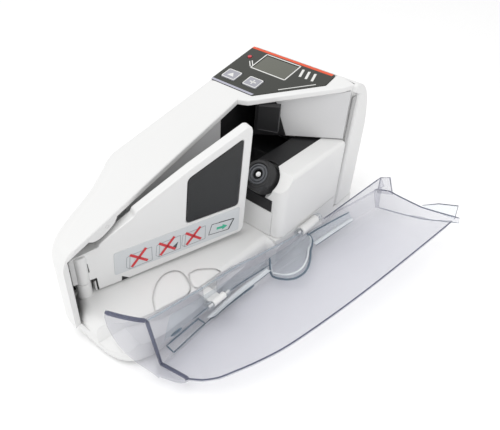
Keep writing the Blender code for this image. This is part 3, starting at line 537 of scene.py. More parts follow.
def dome(name, plan, radii, z0, rise, steps=8):
    """Upright walls from z0 to the inclined roof, each edge rounded over by its own radius."""
    loops = [[(x, y, z0) for x, y in plan]]
    for inward, down in quarter(steps):
        moved = inset_by(plan, [r * inward for r in radii])
        loop = []
        for i, (x, y) in enumerate(moved):
            r = max(radii[i - 1], radii[i])
            loop.append((x, y, plane_z(x, -rise) - r * down))
        loops.append(loop)
    return loft(name, loops)


def end_cutter(offset):
    """Everything past the curved right end, moved inward by an offset."""
    curve = flow(END_CURVE, 3)
    edge = [(x - offset, z - offset * max(0.0, (z - 50.0) / 26.0)) for x, z in curve]
    return prism_y("end", edge + [(158.0, 100.0), (210.0, 100.0), (210.0, -14.0)], -90.0, 10.0)


shell = dome("shell_case", PLAN, RADII, -9.5, 0.8)
cut(shell, end_cutter(0.0))
PLAIN = [(183.0, -77.9)] + BACK_RUN + FRONT[:-1] + [(160.0, -77.9)]
PLAIN_R = [0.5] + [5.4] * (len(BACK_RUN) - 1) + [0.5] * 6
cavity = dome("cavity", inset(PLAIN, 2.1), PLAIN_R, -12.0, -1.6, 5)
cut(cavity, end_cutter(2.1), box("pillar_fill", 157.0, 190.0, -80.0, -72.2, -14.0, 90.0))
cut(shell, cavity)

# openings: the note mouth, the display's window, the panel's recess, the base's seat, the inlet
mouth = [(-9.6, -31.0), (-9.6, -60.0), (100.0, -70.0), (159.2, -90.0), (159.2, -68.0)]
mouth += [(150.0, -59.0), (121.5, -29.5), (120.5, -23.5), (114.0, -21.0)]
cut(shell, prism_z("mouth", mouth, -14.0, lambda x: plane_z(x, 2.4)))
win = [(126.3, -2.9), (126.3, -30.4), (141.0, -44.6), (159.6, -44.6), (159.6, -2.9)]
cut(shell, prism_z("window", win, 50, lambda x: plane_z(x, -3)))
cut(shell, prism_z("recess", inset(OVERLAY, -0.3), plane_z, lambda x: plane_z(x, -4.0)))
cut(shell, box("seat", -14, 30, -40, -1, -12, -9.0))
cut(shell, rod("inlet", (164.0, -4.0, 8.0), (164.0, 6.0, 8.0), 3.3, 40))
cut(shell, box("rocker_gap", 140.5, 153.5, -4.0, 6.0, 4.0, 13.0))
# leaning channel between the front and the pillar, its pillar side rounded
channel = [(-77.9 + 2.4 * inward, 2.4 * grow) for inward, grow in quarter(6)]
loops = [[(158.9, -79.5, -14.0), (163.0, -79.5, -14.0), (167.0, -79.5, 68.6), (158.9, -79.5, 71.5)]]
for y, grow in channel:
    loops.append([(158.9, y, -14.0), (160.6 + grow, y, -14.0), (164.2 + grow, y, 68.6), (158.9, y, 71.5)])
cut(shell, loft("channel", loops))
# grey strip laid in the channel: painted shade for the groove's shadow
strip = [[(x0, y, 0.4) for x0, y in ((158.95, -76.9), (160.3, -76.9), (160.3, -76.3), (158.95, -76.3))],
         [(x0, y, 68.0) for x0, y in ((159.6, -76.9), (163.4, -76.9), (163.4, -76.3), (159.6, -76.3))]]
show(loft("groove_shade_strip", strip), GROOVE_SHADE)

LED_AT = (152.0, -6.6)
SLOPE_DIR = Vector((1.0, 0.0, SLOPE)).normalized()
PANEL_NORMAL = Vector((-SLOPE_DIR.z, 0.0, SLOPE_DIR.x))


def on_panel(u, v, d):
    """Point at (u, v) on the inclined panel, d above it."""
    return tuple(Vector((u, v, plane_z(u))) + PANEL_NORMAL * d)


led_ring = arc(*LED_AT, 1.6, 0, 345, 23)
cut(shell, loft("led_hole", [[on_panel(x, y, d) for x, y in led_ring] for d in (-6, 3)]))
show(shell, WHITE, "root", ["rear_shell"])

# tab under the roof edge with its moulding mark, and black plates around the arm's hinge: painted shade in
# the dark gaps there
FRONT_SLANT = 0.0793


def on_front(u, v, d):
    """Point at (u, v) on the slanting front of the roof, d behind it."""
    return (u, -37.2 + (u - 3.0) * FRONT_SLANT + d, v)


THUMB = [(3.0, 36.2), (5.5, 34.6), (8.5, 34.0), (11.5, 34.3), (14.5, 35.2), (17.5, 36.3), (19.6, 37.6)]
thumb = flow(THUMB, 3) + flow([(21.0, 39.4), (21.4, 41.4), (21.4, 43.2)], 3) + [(3.0, 38.8)]
show(soft_prism("thumb_tab", thumb, on_front, 0.0, 1.3, 0.3, 0.2), WHITE)
mark = ring_of("thumb_mark", (14.6, -36.3, 38.2), Vector((0, -1, 0)),
               [(-0.2, 0.8), (0.10, 0.85), (0.10, 1.05), (-0.2, 1.1)], 32)
show(mark, WHITE)
# black plate behind the tab and the arm's top: painted shade
WELL_SHADE = [(-5.6, 0.3), (-2.0, 0.3), (-2.0, 26.0), (22.0, 35.0), (22.0, 39.0), (4.0, 33.0), (-5.6, 28.0)]
show(prism_y("hinge_shade_plate", WELL_SHADE, -25.4, -24.7), BLACK)
# black liner between the band and the arm's barrel: painted shade
LINER_SHADE = [(-9.9, -38.2), (-9.3, -38.2), (-8.0, -30.0), (-5.0, -26.0), (-5.4, -25.4), (-8.6, -28.6)]
show(prism_z("well_shade_liner", LINER_SHADE, -8.6, 27.5), BLACK)

SKIRT_START = Vector((126.0, -33.4))
SKIRT = Vector((32.6, -42.2))
SKIRT_OUT = Vector((SKIRT.y, -SKIRT.x)).normalized()


def on_skirt(t, z, d):
    """Point a share t along the slanting inner wall, d in front of it."""
    q = SKIRT_START + SKIRT * t + SKIRT_OUT * (0.35 + d)
    return (q.x, q.y, z)


hood_back = [(0.0, 41.2), (0.36, 41.2), (0.20, 66.0), (0.17, 67.6), (0.0, 64.0)]
show(loft("hood_back", [[on_skirt(t, z, d) for t, z in hood_back] for d in (0.0, 0.8)]), BLACK)

# ------------------------------------------------------------------ base shell
NOSE = [(-9.0, -45.0), (-8.6, -55.0), (-7.0, -62.0), (-3.5, -67.5), (2.0, -71.0), (10.0, -72.8)]
NOSE += [(30.0, -73.0)]
TIP = [(23.0, -9.8), (8.0, -15.0), (-1.0, -19.0), (-6.0, -24.0), (-8.6, -31.0)] + NOSE
STEP = [(94.0, -73.0), (97.0, -77.9)]
BASE_PLAN = [(181.0, -77.9)] + arc(174.5, -6.0, 6.5, 0, 90, 6) + flow(BACK[:5], 3) + flow(TIP, 4)[1:] + STEP
FLOOR = [(158.7, -77.9), (158.7, -1.0), (60.0, -1.0), (40.0, -6.0), (8.0, -19.5), (-2.5, -24.5)]
FLOOR += [(-6.0, -31.0), (-8.4, -39.2)] + flow(NOSE, 4) + STEP
base_loops = []
for rise, inward in quarter(6):
    base_loops.append([(x, y, -20.0 + 4.0 * rise) for x, y in inset(BASE_PLAN, 2.6 * inward)])
base_loops.append([(x, y, -9.9) for x, y in BASE_PLAN])
base = loft("base_case", base_loops)
upper = [[(x, y, -12.0) for x, y in FLOOR]]
for inward, down in quarter(9):
    upper.append([(x, y, -7.0 * down) for x, y in inset(FLOOR, 5.4 * inward)])
weld(base, loft("upper", upper), box("front_step", 97.0, 158.7, -77.9, -60.0, -12.0, 0.0))
weld(base, box("pillar_foot", 161.6, 178.6, -75.0, -4.5, -12.0, -8.0))
cut(base, box("bay", 24.0, 86.5, -65.4, -12.6, -25.0, -3.4))
cut(base, box("bay_lip", 21.5, 89.0, -67.4, -11.8, -25.0, -17.4))
cut(base, box("hollow", 100.0, 156.0, -74.0, -4.0, -17.5, -2.6))
cut(base, box("mech_way", 112.0, 150.0, -48.0, -30.0, -5.0, 2.0))

# raised pads on the floor: height over inset
PAD_RISE = ((-0.12, -0.6), (0.0, 0.0), (0.16, 0.8), (0.30, 1.7), (0.38, 2.8))
PADS = (
    [(19.6, -63.6), (22.5, -59.5), (29, -54.5), (35, -52.6), (39, -53.6), (40.2, -56.4), (38.8, -60.8),
     (36.4, -65.0), (32.5, -66.4), (26, -65.4)],
    [(45.8, -61.8), (48.6, -62.4), (51.6, -64.8), (54.6, -68.8), (48.0, -68.8), (42.8, -68.3),
     (43.4, -64.8)],
)
for pad in PADS:
    ring = flow(list(pad) + [pad[0]], 4)[:-1]
    if (Vector(ring[1]) - Vector(ring[0])).cross(Vector(ring[2]) - Vector(ring[1])) < 0:
        ring.reverse()
    pads = [[(x, y, -1.0) for x, y in inset(ring, -0.6)]]
    for z, d in PAD_RISE:
        pads.append([(x, y, z) for x, y in inset(ring, d)])
    weld(base, loft("pad", pads))
cut(base, box("band", -13.5, -8.9, -39.2, -30.0, -9.2, 3.0))
SCREWS = ((94.4, -6.5), (170.0, -40.0))
for sx, sy in SCREWS:
    cut(base, rod("screw_shank", (sx, sy, -25.0), (sx, sy, 4.0), 1.9, 24))
    cut(base, rod("screw_head", (sx, sy, -25.0), (sx, sy, -16.0), 3.6, 32))

# the shut cover's crease and hinge-side edge, and the room the base leaves behind and below them
CREASE = [(-14.0, -11.0), (14.0, -11.6), (50.0, -12.4), (86.0, -7.3), (125.6, -1.2)]
CREASE += [(160.7, 4.8), (184.0, 11.6)]
EDGE = [(-14.0, -49.6, -13.0), (-8.6, -53.8, -8.8), (-5.0, -56.7, -5.4), (1.2, -61.8, 0.0)]
EDGE += [(9.0, -64.4, -2.0), (18.0, -67.4, -4.6), (38.0, -71.1, -6.2), (51.0, -71.7, -4.9)]
EDGE += [(65.0, -72.3, -3.4), (77.0, -75.2, -3.7), (89.5, -77.2, -3.5), (105.0, -79.6, -2.4)]
EDGE += [(120.6, -80.4, -1.0), (139.0, -80.4, 3.7), (158.0, -80.5, 9.6), (174.0, -80.4, 13.6)]
EDGE += [(184.0, -80.2, 16.0)]
BEHIND = [(-14.0, 3.4), (-5.0, 3.2), (1.2, 2.1), (9.0, 1.7), (184.0, 1.7)]
BELOW = [(-14.0, 5.2), (-5.0, 4.6), (1.2, 3.4), (9.0, 2.7), (184.0, 2.7)]
room = []
for x in (-13.9, -8.6, -5.0, 1.2, 9.0, 18.0, 38.0, 51.0, 65.0, 77.0, 89.5, 97.0, 105.0):
    ye, below = along(EDGE, x, 1) + along(BEHIND, x, 1), along(BELOW, x, 1)
    low, high = along(CREASE, x, 1) - below, along(EDGE, x, 2) - below
    room.append([(x, -97.0, low), (x, ye, high), (x, ye, 9.0), (x, -97.0, 9.0)])
cut(base, loft("clearance", room))

# hinge lugs of the cover: run along x, how far back the web goes, its height, the lug's radius
LUGS = ((117.0, 133.0), (40.0, 49.0))
LUG_LARGE = 2.7
LUG_SHAPES = ((-76.0, -2.2, 1.0, LUG_LARGE), (-68.0, -2.0, -1.2, 1.8))
for (x0, x1), (wy, w0, w1, lr) in zip(LUGS, LUG_SHAPES):
    length, narrow = x1 - x0, LUG_LARGE - lr
    profile = [(0.0, lr - 0.4), (0.4, lr), (length - 0.4, lr), (length, lr - 0.4)]
    lug = turned("lug", (x0, HINGE_Y, HINGE_Z), ALONG, profile, 40)
    weld(lug, box("web", x0 + narrow, x1 - narrow, HINGE_Y, wy, HINGE_Z + w0, HINGE_Z + w1))
    weld(base, lug)
    cut(base, rod("pinhole", (x0 - 1, HINGE_Y, HINGE_Z), (x1 + 1, HINGE_Y, HINGE_Z), PIN_HOLE, 24))
cut(base, rod("armpin", (*ARM_AXIS, -6.0), (*ARM_AXIS, 2.0), PIN_HOLE, 24))
KNUCKLE = [(-1.0, 2.8), (-1.0, 3.6), (8.4, 3.6), (8.8, 3.3), (8.8, 2.8)]
weld(base, ring_of("knuckle", (*ARM_AXIS, 0.0), UP, KNUCKLE, 48))
show(base, WHITE, "root", ["base_shell"])

# ------------------------------------------------------------------ pressure arm
COS, SIN = math.cos(ARM_SWING), math.sin(ARM_SWING)


def on_arm(a, z, n):
    """Point a along the arm from its pin, at height z, n behind its middle plane."""
    return (ARM_AXIS[0] + a * COS - n * SIN, ARM_AXIS[1] + a * SIN + n * COS, z)


ARM = [(5.0, 0.9), (20.0, 1.0), (52.0, 2.2), (90.0, 3.8), (92.4, 5.8), (95.2, 68.0), (94.4, 70.6)]
ARM += [(92.0, 71.2), (60.0, 57.0), (31.0, 42.4), (29.6, 41.6), (28.8, 39.6), (12.0, 31.0)]
ARM += [(10.4, 29.9), (9.8, 28.4), (2.0, 26.4), (-3.2, 26.1), (-3.6, 25.0), (-3.6, 9.2), (5.0, 9.2)]
arm = soft_prism("arm_case", rounded(ARM, 0.8, 3), on_arm, -2.0, 3.5, 0.55, 0.5)
hollow = [(8.0, 3.4), (88.6, 6.2), (92.2, 66.8), (60.0, 54.0), (30.0, 38.8), (12.0, 27.2), (8.0, 25.2)]
cut(arm, loft("hollow", [[on_arm(a, z, n) for a, z in hollow] for n in (0.1, 6.0)]))
BARREL = [(0.0, 3.6), (16.2, 3.6), (16.8, 3.4), (17.1, 3.0)]
weld(arm, turned("barrel", (*ARM_AXIS, 9.2), UP, BARREL, 48))
cut(arm, rod("hole", (*ARM_AXIS, 5.0), (*ARM_AXIS, 30.0), PIN_HOLE, 32))
CHEEK = rounded([(-5.6, 9.4), (2.6, 9.4), (2.6, 26.0), (-5.6, 25.2)], 0.9)
show(soft_prism("arm_cheek", CHEEK, on_arm, -2.0, -0.6, 0.5, 0.3), WHITE, "arm")
CAP = rounded([(-5.6, -1.9), (8.6, -1.9), (8.6, 3.6), (-5.6, 3.6)], 1.6)
cap_loops = [[on_arm(a, z + 0.22 * max(0.0, a), n) for a, n in inset(CAP, d)]
             for z, d in ((25.0, 0.0), (26.0, 0.0), (26.3, 0.15), (26.4, 0.5))]
show(loft("arm_cap", cap_loops), WHITE, "arm")
PAD = rounded([(57.8, 51.4), (56.0, 23.6), (88.4, 23.8), (90.2, 65.6)], 2.6)
cut(arm, loft("padseat", [[on_arm(a, z, n) for a, z in PAD] for n in (-3.0, -1.2)]))
show(arm, WHITE, "arm", ["pressure_arm"])
PAD_FACE = rounded([(58.1, 51.0), (56.4, 24.0), (88.0, 24.2), (89.8, 65.0)], 2.3)
pad_piece = soft_prism("pad_face", PAD_FACE, on_arm, -2.2, -1.4, 0.3, 0.1)
show(pad_piece, PADBLACK, "arm", ["arm_pad"])
STICKER = rounded([(15.4, 6.8), (89.0, 6.2), (89.3, 22.4), (16.4, 21.2)], 1.2)
sticker = soft_prism("label_face", STICKER, on_arm, -2.35, -1.95, 0.08, 0.05)
show(sticker, LABEL, "arm", ["arm_label"])

# generic pictograms on the label: three crossed-out bundles, then one with an arrow
crosses = []
for cx, cz in ((29.0, 13.0), (45.0, 13.6), (60.4, 14.0)):
    crosses.append(stroke((cx - 4.4, cz - 4.6), (cx + 4.2, cz + 4.8), 1.5))
    crosses.append(stroke((cx - 4.6, cz + 3.8), (cx + 4.4, cz - 4.0), 1.5))
show(decal("label_crosses", crosses, on_arm, -2.50, -2.42), INK_RED, "arm", weighted=False)
notes = []
for cx, cz in ((30.0, 12.2), (46.4, 12.8), (61.4, 13.2)):
    low, high = (cx - 6.6, cz - 4.6), (cx - 5.6, cz + 4.2)
    notes += outline([low, (cx + 6.0, cz - 4.2), (cx + 6.2, cz + 4.8), high], 0.28)
    notes += outline([low, (cx - 8.2, cz - 2.8), (cx - 7.4, cz + 3.6), high], 0.24, False)
show(decal("label_notes", notes, on_arm, -2.43, -2.36), INK_GREY, "arm", weighted=False)
frame4 = outline([(69.6, 10.4), (82.2, 9.4), (85.6, 15.8), (71.6, 17.0)], 0.3)
frame4 += [stroke((82.2, 9.4), (85.6, 15.8), 0.7), stroke((76.0, 16.7), (85.6, 15.8), 0.55)]
frame4.append([(47.6, 11.4), (51.2, 13.8), (49.8, 9.8)])
show(decal("label_frame", frame4, on_arm, -2.46, -2.38), INK_DARK, "arm", weighted=False)
arrow = [stroke((74.6, 13.0), (78.6, 12.7), 1.5), [(78.2, 10.9), (81.4, 12.5), (78.4, 14.6)]]
show(decal("label_arrow", arrow, on_arm, -2.48, -2.40), INK_GREEN, "arm", weighted=False)

# black decals round the arm's hinge end: painted shade in its gaps and notch
gap_shade = [stroke((3.1, 15.0), (2.8, 20.8), 0.75), stroke((3.6, 8.6), (6.4, 8.9), 1.5)]
gap_shade += [stroke((6.0, 8.6), (6.2, 1.4), 0.9)]
gap_shade.append([(18.6, 1.4), (22.6, 1.5), (19.0, 4.4)])
show(decal("arm_gap_shade", gap_shade, on_arm, -2.12, -1.9), BLACK, "arm", weighted=False)

# ------------------------------------------------------------------ roller, hub, housing
TYRE = [(-10.6, 6.1), (-10.6, 8.8), (-10.2, 9.2), (-3.0, 9.2), (-2.2, 9.05), (-1.2, 8.5), (-0.2, 8.2)]
TYRE += [(0.5, 7.8), (0.6, 6.4), (0.4, 6.1)]
show(ring_of("tyre", ROLLER_AT, AXIS, TYRE, 96), RUBBER, "roller", ["feed_tyre"])
HUB = [(-10.4, 1.9), (-10.4, 5.9), (-0.1, 5.9), (0.2, 5.7), (0.2, 5.0), (-0.7, 4.85), (-0.7, 4.3)]
HUB += [(0.1, 4.15), (0.3, 3.95), (0.3, 3.2), (0.0, 3.0), (-3.0, 2.9), (-3.0, 1.9)]
show(ring_of("hub", ROLLER_AT, AXIS, HUB, 96), HUBGREY, "roller", ["roller_hub"])
HUB_RECESS = [(-2.98, 1.7), (-2.98, 2.88), (-0.8, 2.88), (-0.8, 2.6), (-2.7, 2.5), (-2.7, 1.7)]
show(ring_of("hub_recess", ROLLER_AT, AXIS, HUB_RECESS, 64), BLACK, "roller")
shaft = turned("shaft", ROLLER_AT, AXIS, [(-19.8, 1.6), (-1.0, 1.6), (-0.75, 1.45), (-0.65, 1.2)], 48)
show(shaft, STEEL, "roller", ["roller_shaft"])

HOUSING = [(98.7, 0.3), (158.6, 0.3), (158.6, 42.0), (107.2, 42.0), (107.2, 40.2), (98.7, 31.6)]
HOUSE_PLAN = [(158.6, -64.9), (98.7, -64.9), (98.7, -70.0)]
HOUSE_PLAN += arc(103.6, -73.0, 4.9, 180, 270, 8) + [(158.6, -77.9)]
HOUSE_RADII = [0.35, 0.35] + [2.6] * (len(HOUSE_PLAN) - 3) + [0.1]
house = [[(x, y, 0.3) for x, y in HOUSE_PLAN]]
for inward, down in quarter(6):
    moved = inset_by(HOUSE_PLAN, [r * inward for r in HOUSE_RADII])
    house.append([(x, y, 40.2 - 2.6 * down * (1.0 if y < -69.0 else 0.25)) for x, y in moved])
housing = loft("housing", house)
combine(housing, prism_y("keep", HOUSING, -80.0, -60.0), "INTERSECT")
weld(housing, box("cheek", 98.7, 103.0, -66.0, -58.5, 0.3, 20.4))
INNER = [(101.2, 2.6), (101.2, 26.0), (113.4, 37.9), (156.2, 37.9), (156.2, 2.6)]
cut(housing, prism_y("inner", INNER, -75.2, -60.0))
cut(housing, turned("pocket", ROLLER_AT, AXIS, [(-11.4, 10.7), (12.0, 10.7)], 96))
show(housing, WHITE, "root", ["roller_housing"])
show(box("cheek_face", 97.9, 98.6, -71.4, -50.0, 0.3, 17.0), WHITE)
show(box("feed_slot", 98.05, 98.65, -70.4, -50.0, 17.2, 24.6), BLACK)

# ------------------------------------------------------------------ control panel
DISPLAY = [(144.0, -39.4), (158.8, -39.4), (158.8, -14.9), (144.0, -14.9)]
KEYS = {"start_key": (132.0, -9.7), "add_key": (132.4, -25.6)}
KEY_HALF = (4.3, 5.2)


def key_plan(cx, cy, grow=0.0, r=1.2):
    a, b = KEY_HALF[0] + grow, KEY_HALF[1] + grow
    return rounded([(cx - a, cy - b), (cx + a, cy - b), (cx + a, cy + b), (cx - a, cy + b)], r, 4)


def plate_on_panel(name, poly, low, high, r=0.2):
    if sum(a[0] * b[1] - b[0] * a[1] for a, b in zip(poly, poly[1:] + poly[:1])) < 0:
        poly = list(reversed(poly))
    return soft_prism(name, poly, on_panel, low, high, 0.02, r, 2)


film = plate_on_panel("panel_film", rounded(inset(OVERLAY, 0.1), 1.2, 3), 0.35, 1.0, 0.12)
for hole in [DISPLAY] + [key_plan(kx, ky, 0.32) for kx, ky in KEYS.values()] + [led_ring]:
    cut(film, loft("hole", [[on_panel(x, y, d) for x, y in hole] for d in (-2, 3)]))
show(film, MEMBRANE, "root", ["panel_overlay"])
lens = plate_on_panel("display_face", inset(DISPLAY, 0.3), 0.1, 0.75)
show(lens, LCD, "root", ["display_lens"])
for key, (kx, ky) in KEYS.items():
    body = "start_button" if key == "start_key" else "add_button"
    cap = plate_on_panel(key + "_cap", key_plan(kx, ky), -1.6, 1.35, 0.35)
    show(cap, KEYCAP, body, [key])
    rim = key_plan(kx, ky, -0.25)
    if normal_in(rim[0], rim[1]).dot(Vector((kx, ky)) - Vector(rim[0])) <= 0:
        rim.reverse()
    core = inset(rim, 0.55)
    line = [list(quad) for quad in zip(rim, rim[1:] + rim[:1], core[1:] + core[:1], core)]
    show(decal(key + "_line", line, on_panel, 1.34, 1.40), INK_WHITE, body, weighted=False)
kx, ky = KEYS["start_key"]
triangle = [[(kx - 1.6, ky - 2.4), (kx + 1.6, ky), (kx - 1.6, ky + 2.4)]]
start_mark = decal("start_mark", triangle, on_panel, 1.34, 1.40)
show(start_mark, INK_WHITE, "start_button", weighted=False)
kx, ky = KEYS["add_key"]
plus = [stroke((kx - 1.9, ky), (kx + 1.9, ky), 0.8), stroke((kx, ky - 2.3), (kx, ky + 2.3), 0.8)]
add_mark = decal("add_mark", plus, on_panel, 1.34, 1.40)
show(add_mark, INK_WHITE, "add_button", weighted=False)
stripe = [(160.3, -60.6), (162.2, -60.9), (162.2, -1.5), (160.3, -1.5)]
show(decal("panel_stripe", [stripe], on_panel, 0.98, 1.04), INK_ORANGE, weighted=False)
border = outline([(143.6, -39.8), (159.2, -39.8), (159.2, -14.5), (143.6, -14.5)], 0.75)
show(decal("display_line", border, on_panel, 0.98, 1.04), INK_WHITE, weighted=False)

# plain strokes where the panel has print: three by the display, one under it, two by the light
bars = [stroke((150.6, -45.4), (157.4, -43.2), 1.5), stroke((150.6, -49.6), (157.4, -47.4), 1.5)]
bars += [stroke((150.6, -53.8), (157.4, -51.6), 1.5)]
bars += [stroke((134.4, -42.4), (149.2, -57.6), 0.6)]
bars += [stroke((144.2, -13.6), (148.4, -9.6), 0.6), stroke((145.8, -14.2), (149.6, -10.6), 0.6)]
show(decal("panel_marks", bars, on_panel, 0.98, 1.04), INK_WHITE, weighted=False)
edge_strip = [(122.7, -32.6), (124.2, -33.2), (124.2, -1.5), (122.7, -1.5)]
show(decal("panel_edge", [edge_strip], on_panel, 0.98, 1.04), INK_LILAC, weighted=False)

# ------------------------------------------------------------------ clear cover
TOP_EDGE = [(-4.0, 6.0), (7.0, 13.8), (13.3, 21.4), (22.9, 27.2), (34.0, 33.1), (50.0, 38.8), (82.7, 46.2)]
TOP_EDGE += [(120.0, 52.7), (178.0, 61.1), (184.0, 62.0)]
LOBE = [(-10.6, -52.2, -10.2), (-10.8, -56.0, -12.4), (-11.1, -60.9, -12.6), (-10.9, -65.9, -11.8)]
LOBE += [(-10.3, -71.1, -10.9), (-9.1, -75.6, -8.8), (-6.6, -82.0, -6.0), (-2.2, -90.5, -3.4)]
PLATE_Y = -95.8
OPEN = math.radians(70.0)


def opened(p):
    """Point of the shut cover turned open about the hinge."""
    y, z = p[1] - HINGE_Y, p[2] - HINGE_Z
    return (p[0], HINGE_Y + y * math.cos(OPEN) - z * math.sin(OPEN),
            HINGE_Z + y * math.sin(OPEN) + z * math.cos(OPEN))


def smooth_along(table, x, column):
    return along(flow([(row[0], row[column]) for row in table], 6), x, 1)


def closed_point(x, s):
    """Cover surface when shut: s runs 0 to 1 down the bottom wall and 1 to 2 up the plate."""
    e = Vector((x, smooth_along(EDGE, x, 1), smooth_along(EDGE, x, 2) + 0.3))
    c = Vector((x, PLATE_Y, smooth_along(CREASE, x, 1)))
    if s <= 1.0:
        return e.lerp(c, s)
    return c.lerp(Vector((x, PLATE_Y, smooth_along(TOP_EDGE, x, 1))), s - 1.0)


def surf(x, s, lift):
    """Point at (x, s) on the open cover, lifted off its inner face."""
    p = Vector(opened(closed_point(x, s)))
    a = Vector(opened(closed_point(x + 0.5, s))) - Vector(opened(closed_point(x - 0.5, s)))
    s0, s1 = (s - 0.04, s) if s <= 1.0 else (s, min(2.0, s + 0.04))
    b = Vector(opened(closed_point(x, max(0.0, s1)))) - Vector(opened(closed_point(x, max(0.0, s0))))
    n = a.cross(b).normalized()
    return p - n * lift


def sheet(name, grid, thick):
    """Even sheet behind a grid of points; rim faces take the second material."""
    rows, cols = len(grid), len(grid[0])
    pts = [[Vector(q) for q in row] for row in grid]

    def normal(i, j):
        n = Vector((0, 0, 0))
        for di, dj, ei, ej in ((1, 0, 0, 1), (0, 1, -1, 0), (-1, 0, 0, -1), (0, -1, 1, 0)):
            a, b, c, d = i + di, j + dj, i + ei, j + ej
            if 0 <= a < rows and 0 <= b < cols and 0 <= c < rows and 0 <= d < cols:
                n += (pts[a][b] - pts[i][j]).cross(pts[c][d] - pts[i][j]).normalized()
        return n.normalized()

    bm = bmesh.new()
    outer = [[bm.verts.new(M(pts[i][j])) for j in range(cols)] for i in range(rows)]
    inner = [[bm.verts.new(M(pts[i][j] + normal(i, j) * thick)) for j in range(cols)] for i in range(rows)]
    for i in range(rows - 1):
        for j in range(cols - 1):
            bm.faces.new((outer[i][j], outer[i + 1][j], outer[i + 1][j + 1], outer[i][j + 1]))
            bm.faces.new((inner[i][j], inner[i][j + 1], inner[i + 1][j + 1], inner[i + 1][j]))
    rim = [(i, 0) for i in range(rows)] + [(rows - 1, j) for j in range(1, cols)]
    rim += [(i, cols - 1) for i in range(rows - 2, -1, -1)] + [(0, j) for j in range(cols - 2, 0, -1)]
    for (a, b), (c, d) in zip(rim, rim[1:] + rim[:1]):
        face = bm.faces.new((outer[a][b], inner[a][b], inner[c][d], outer[c][d]))
        face.material_index = 1
    bmesh.ops.recalc_face_normals(bm, faces=bm.faces)
    mesh = bpy.data.meshes.new(name)
    bm.to_mesh(mesh)
    bm.free()
    obj = bpy.data.objects.new(name, mesh)
    bpy.context.scene.collection.objects.link(obj)
    return obj


def plate_right(z):
    """The plate's right edge at a height, when shut."""
    limits = [(-20.0, 183.5), (11.0, 182.6), (28.5, 178.9), (44.0, 176.6), (61.0, 178.0), (80.0, 179.0)]
    return along(limits, z, 1)


def section(x):
    """Eighteen points down the bottom wall and up the plate at x, close together at the crease."""
    out = [tuple(closed_point(x, k / 8.35)) for k in range(9)]
    out += [tuple(closed_point(x, 1.0 + (0.03 + 0.97 * k / 8))) for k in range(9)]
    return out


# the skin: the free lobe, two sections blended from it, then plain sections along x
first = LOBE + [(-1.2, -93.4, -3.0)]
first += [(-0.8 + k * 0.25, -92.6 - 0.02 * k, -2.6 + 1.3 * k) for k in range(9)]
second = [tuple(Vector(q) + Vector((5.0 * min(1.0, k / 8.0), 0, 0))) for k, q in enumerate(section(1.2))]
columns = [first]
for f in (0.34, 0.67):
    mid = []
    for a, b in zip(first, second):
        q = Vector(a).lerp(Vector(b), f)
        bow = math.sin(math.pi * f) * 1.2
        mid.append((q.x, q.y - bow * 0.5, q.z + bow * 0.35))
    columns.append(mid)
columns.append(second)
xs = [9.0, 14.0, 20.0, 28.0, 38.0, 45.0, 51.0, 58.0, 65.0, 71.0, 77.0, 83.0, 89.5, 97.0, 105.0]
xs += [113.0, 120.6, 130.0, 139.0, 148.0, 158.0, 165.0, 172.0, 178.0, 183.6]
for x in xs:
    column = section(x)
    if x > 177:
        column = [(min(q[0], plate_right(q[2])), q[1], q[2]) for q in column]
    columns.append(column)
skin = sheet("cover_skin", [[opened(q) for q in column] for column in columns], 1.3)
hinge_at = M((0, HINGE_Y, HINGE_Z))
turn_open = Matrix.Translation(hinge_at) @ Matrix.Rotation(OPEN, 4, "X") @ Matrix.Translation(-hinge_at)
for x0, x1 in LUGS:
    slot = box("slot", x0 - 0.45, x1 + 0.45, HINGE_Y - 3.4, -60.0, -12.0, 6.0)
    slot.data.transform(turn_open)
    cut(skin, slot)
show(skin, CLEAR, "cover", ["clear_cover"], 50.0, True, (CLEAR_RIM,))

# right end wall: height and how far back it reaches, then tapering towards the top
END_WALL = ((9.5, -83.4), (14.0, -82.6), (21.0, -82.0), (28.5, -82.4), (44.0, -83.6), (56.0, -84.2))
END_WALL += ((65.8, -84.4),)
wall_rows = []
for z, y_back in flow(END_WALL, 3):
    xr = plate_right(z)
    y_back -= 8.6 * max(0.0, (z - 22.0) / 43.8) ** 0.9
    row = [(xr, PLATE_Y + 0.02, z), (xr + 0.5, (PLATE_Y + y_back) / 2, z), (xr + 0.9, y_back, z)]
    wall_rows.append([opened(q) for q in row])
show(sheet("cover_end", wall_rows, 1.3), CLEAR, "cover", (), 50.0, True, (CLEAR_RIM,))


def tube(name, pts, r, mat, body="cover"):
    """Thin rounded line through points, its two ends tapered."""
    path = [Vector(p) for p in pts]
    loops = []
    for i, p in enumerate(path):
        d = (path[min(len(path) - 1, i + 1)] - path[max(0, i - 1)]).normalized()
        u, v = frame_of(d)
        radius = r * (0.5 if i in (0, len(path) - 1) else 1.0)
        turns = [2 * math.pi * k / 8 for k in range(8)]
        loops.append([p + (u * math.cos(t) + v * math.sin(t)) * radius for t in turns])
    show(loft(name, loops), mat, body, (), 60.0)


def band(name, low, high, lift0, lift1, mat):
    """Bar lying on the cover between two (x, s) runs, its faces at two lifts."""
    loops = []
    for (xa, sa), (xb, sb) in zip(low, high):
        pa, pb = surf(xa, sa, lift0), surf(xb, sb, lift0)
        qa, qb = surf(xa, sa, lift1), surf(xb, sb, lift1)
        qa2, qb2 = qa.lerp(qb, 0.18), qb.lerp(qa, 0.18)
        ra, rb = pa.lerp(qa, 0.7), pb.lerp(qb, 0.7)
        loops.append([pa, pb, rb, qb2, qa2, ra])
    show(loft(name, loops), mat, "cover", (), 40.0)


def run(a, b, n=12):
    """Even steps from one (x, s) to another."""
    return [(a[0] + (b[0] - a[0]) * k / n, a[1] + (b[1] - a[1]) * k / n) for k in range(n + 1)]
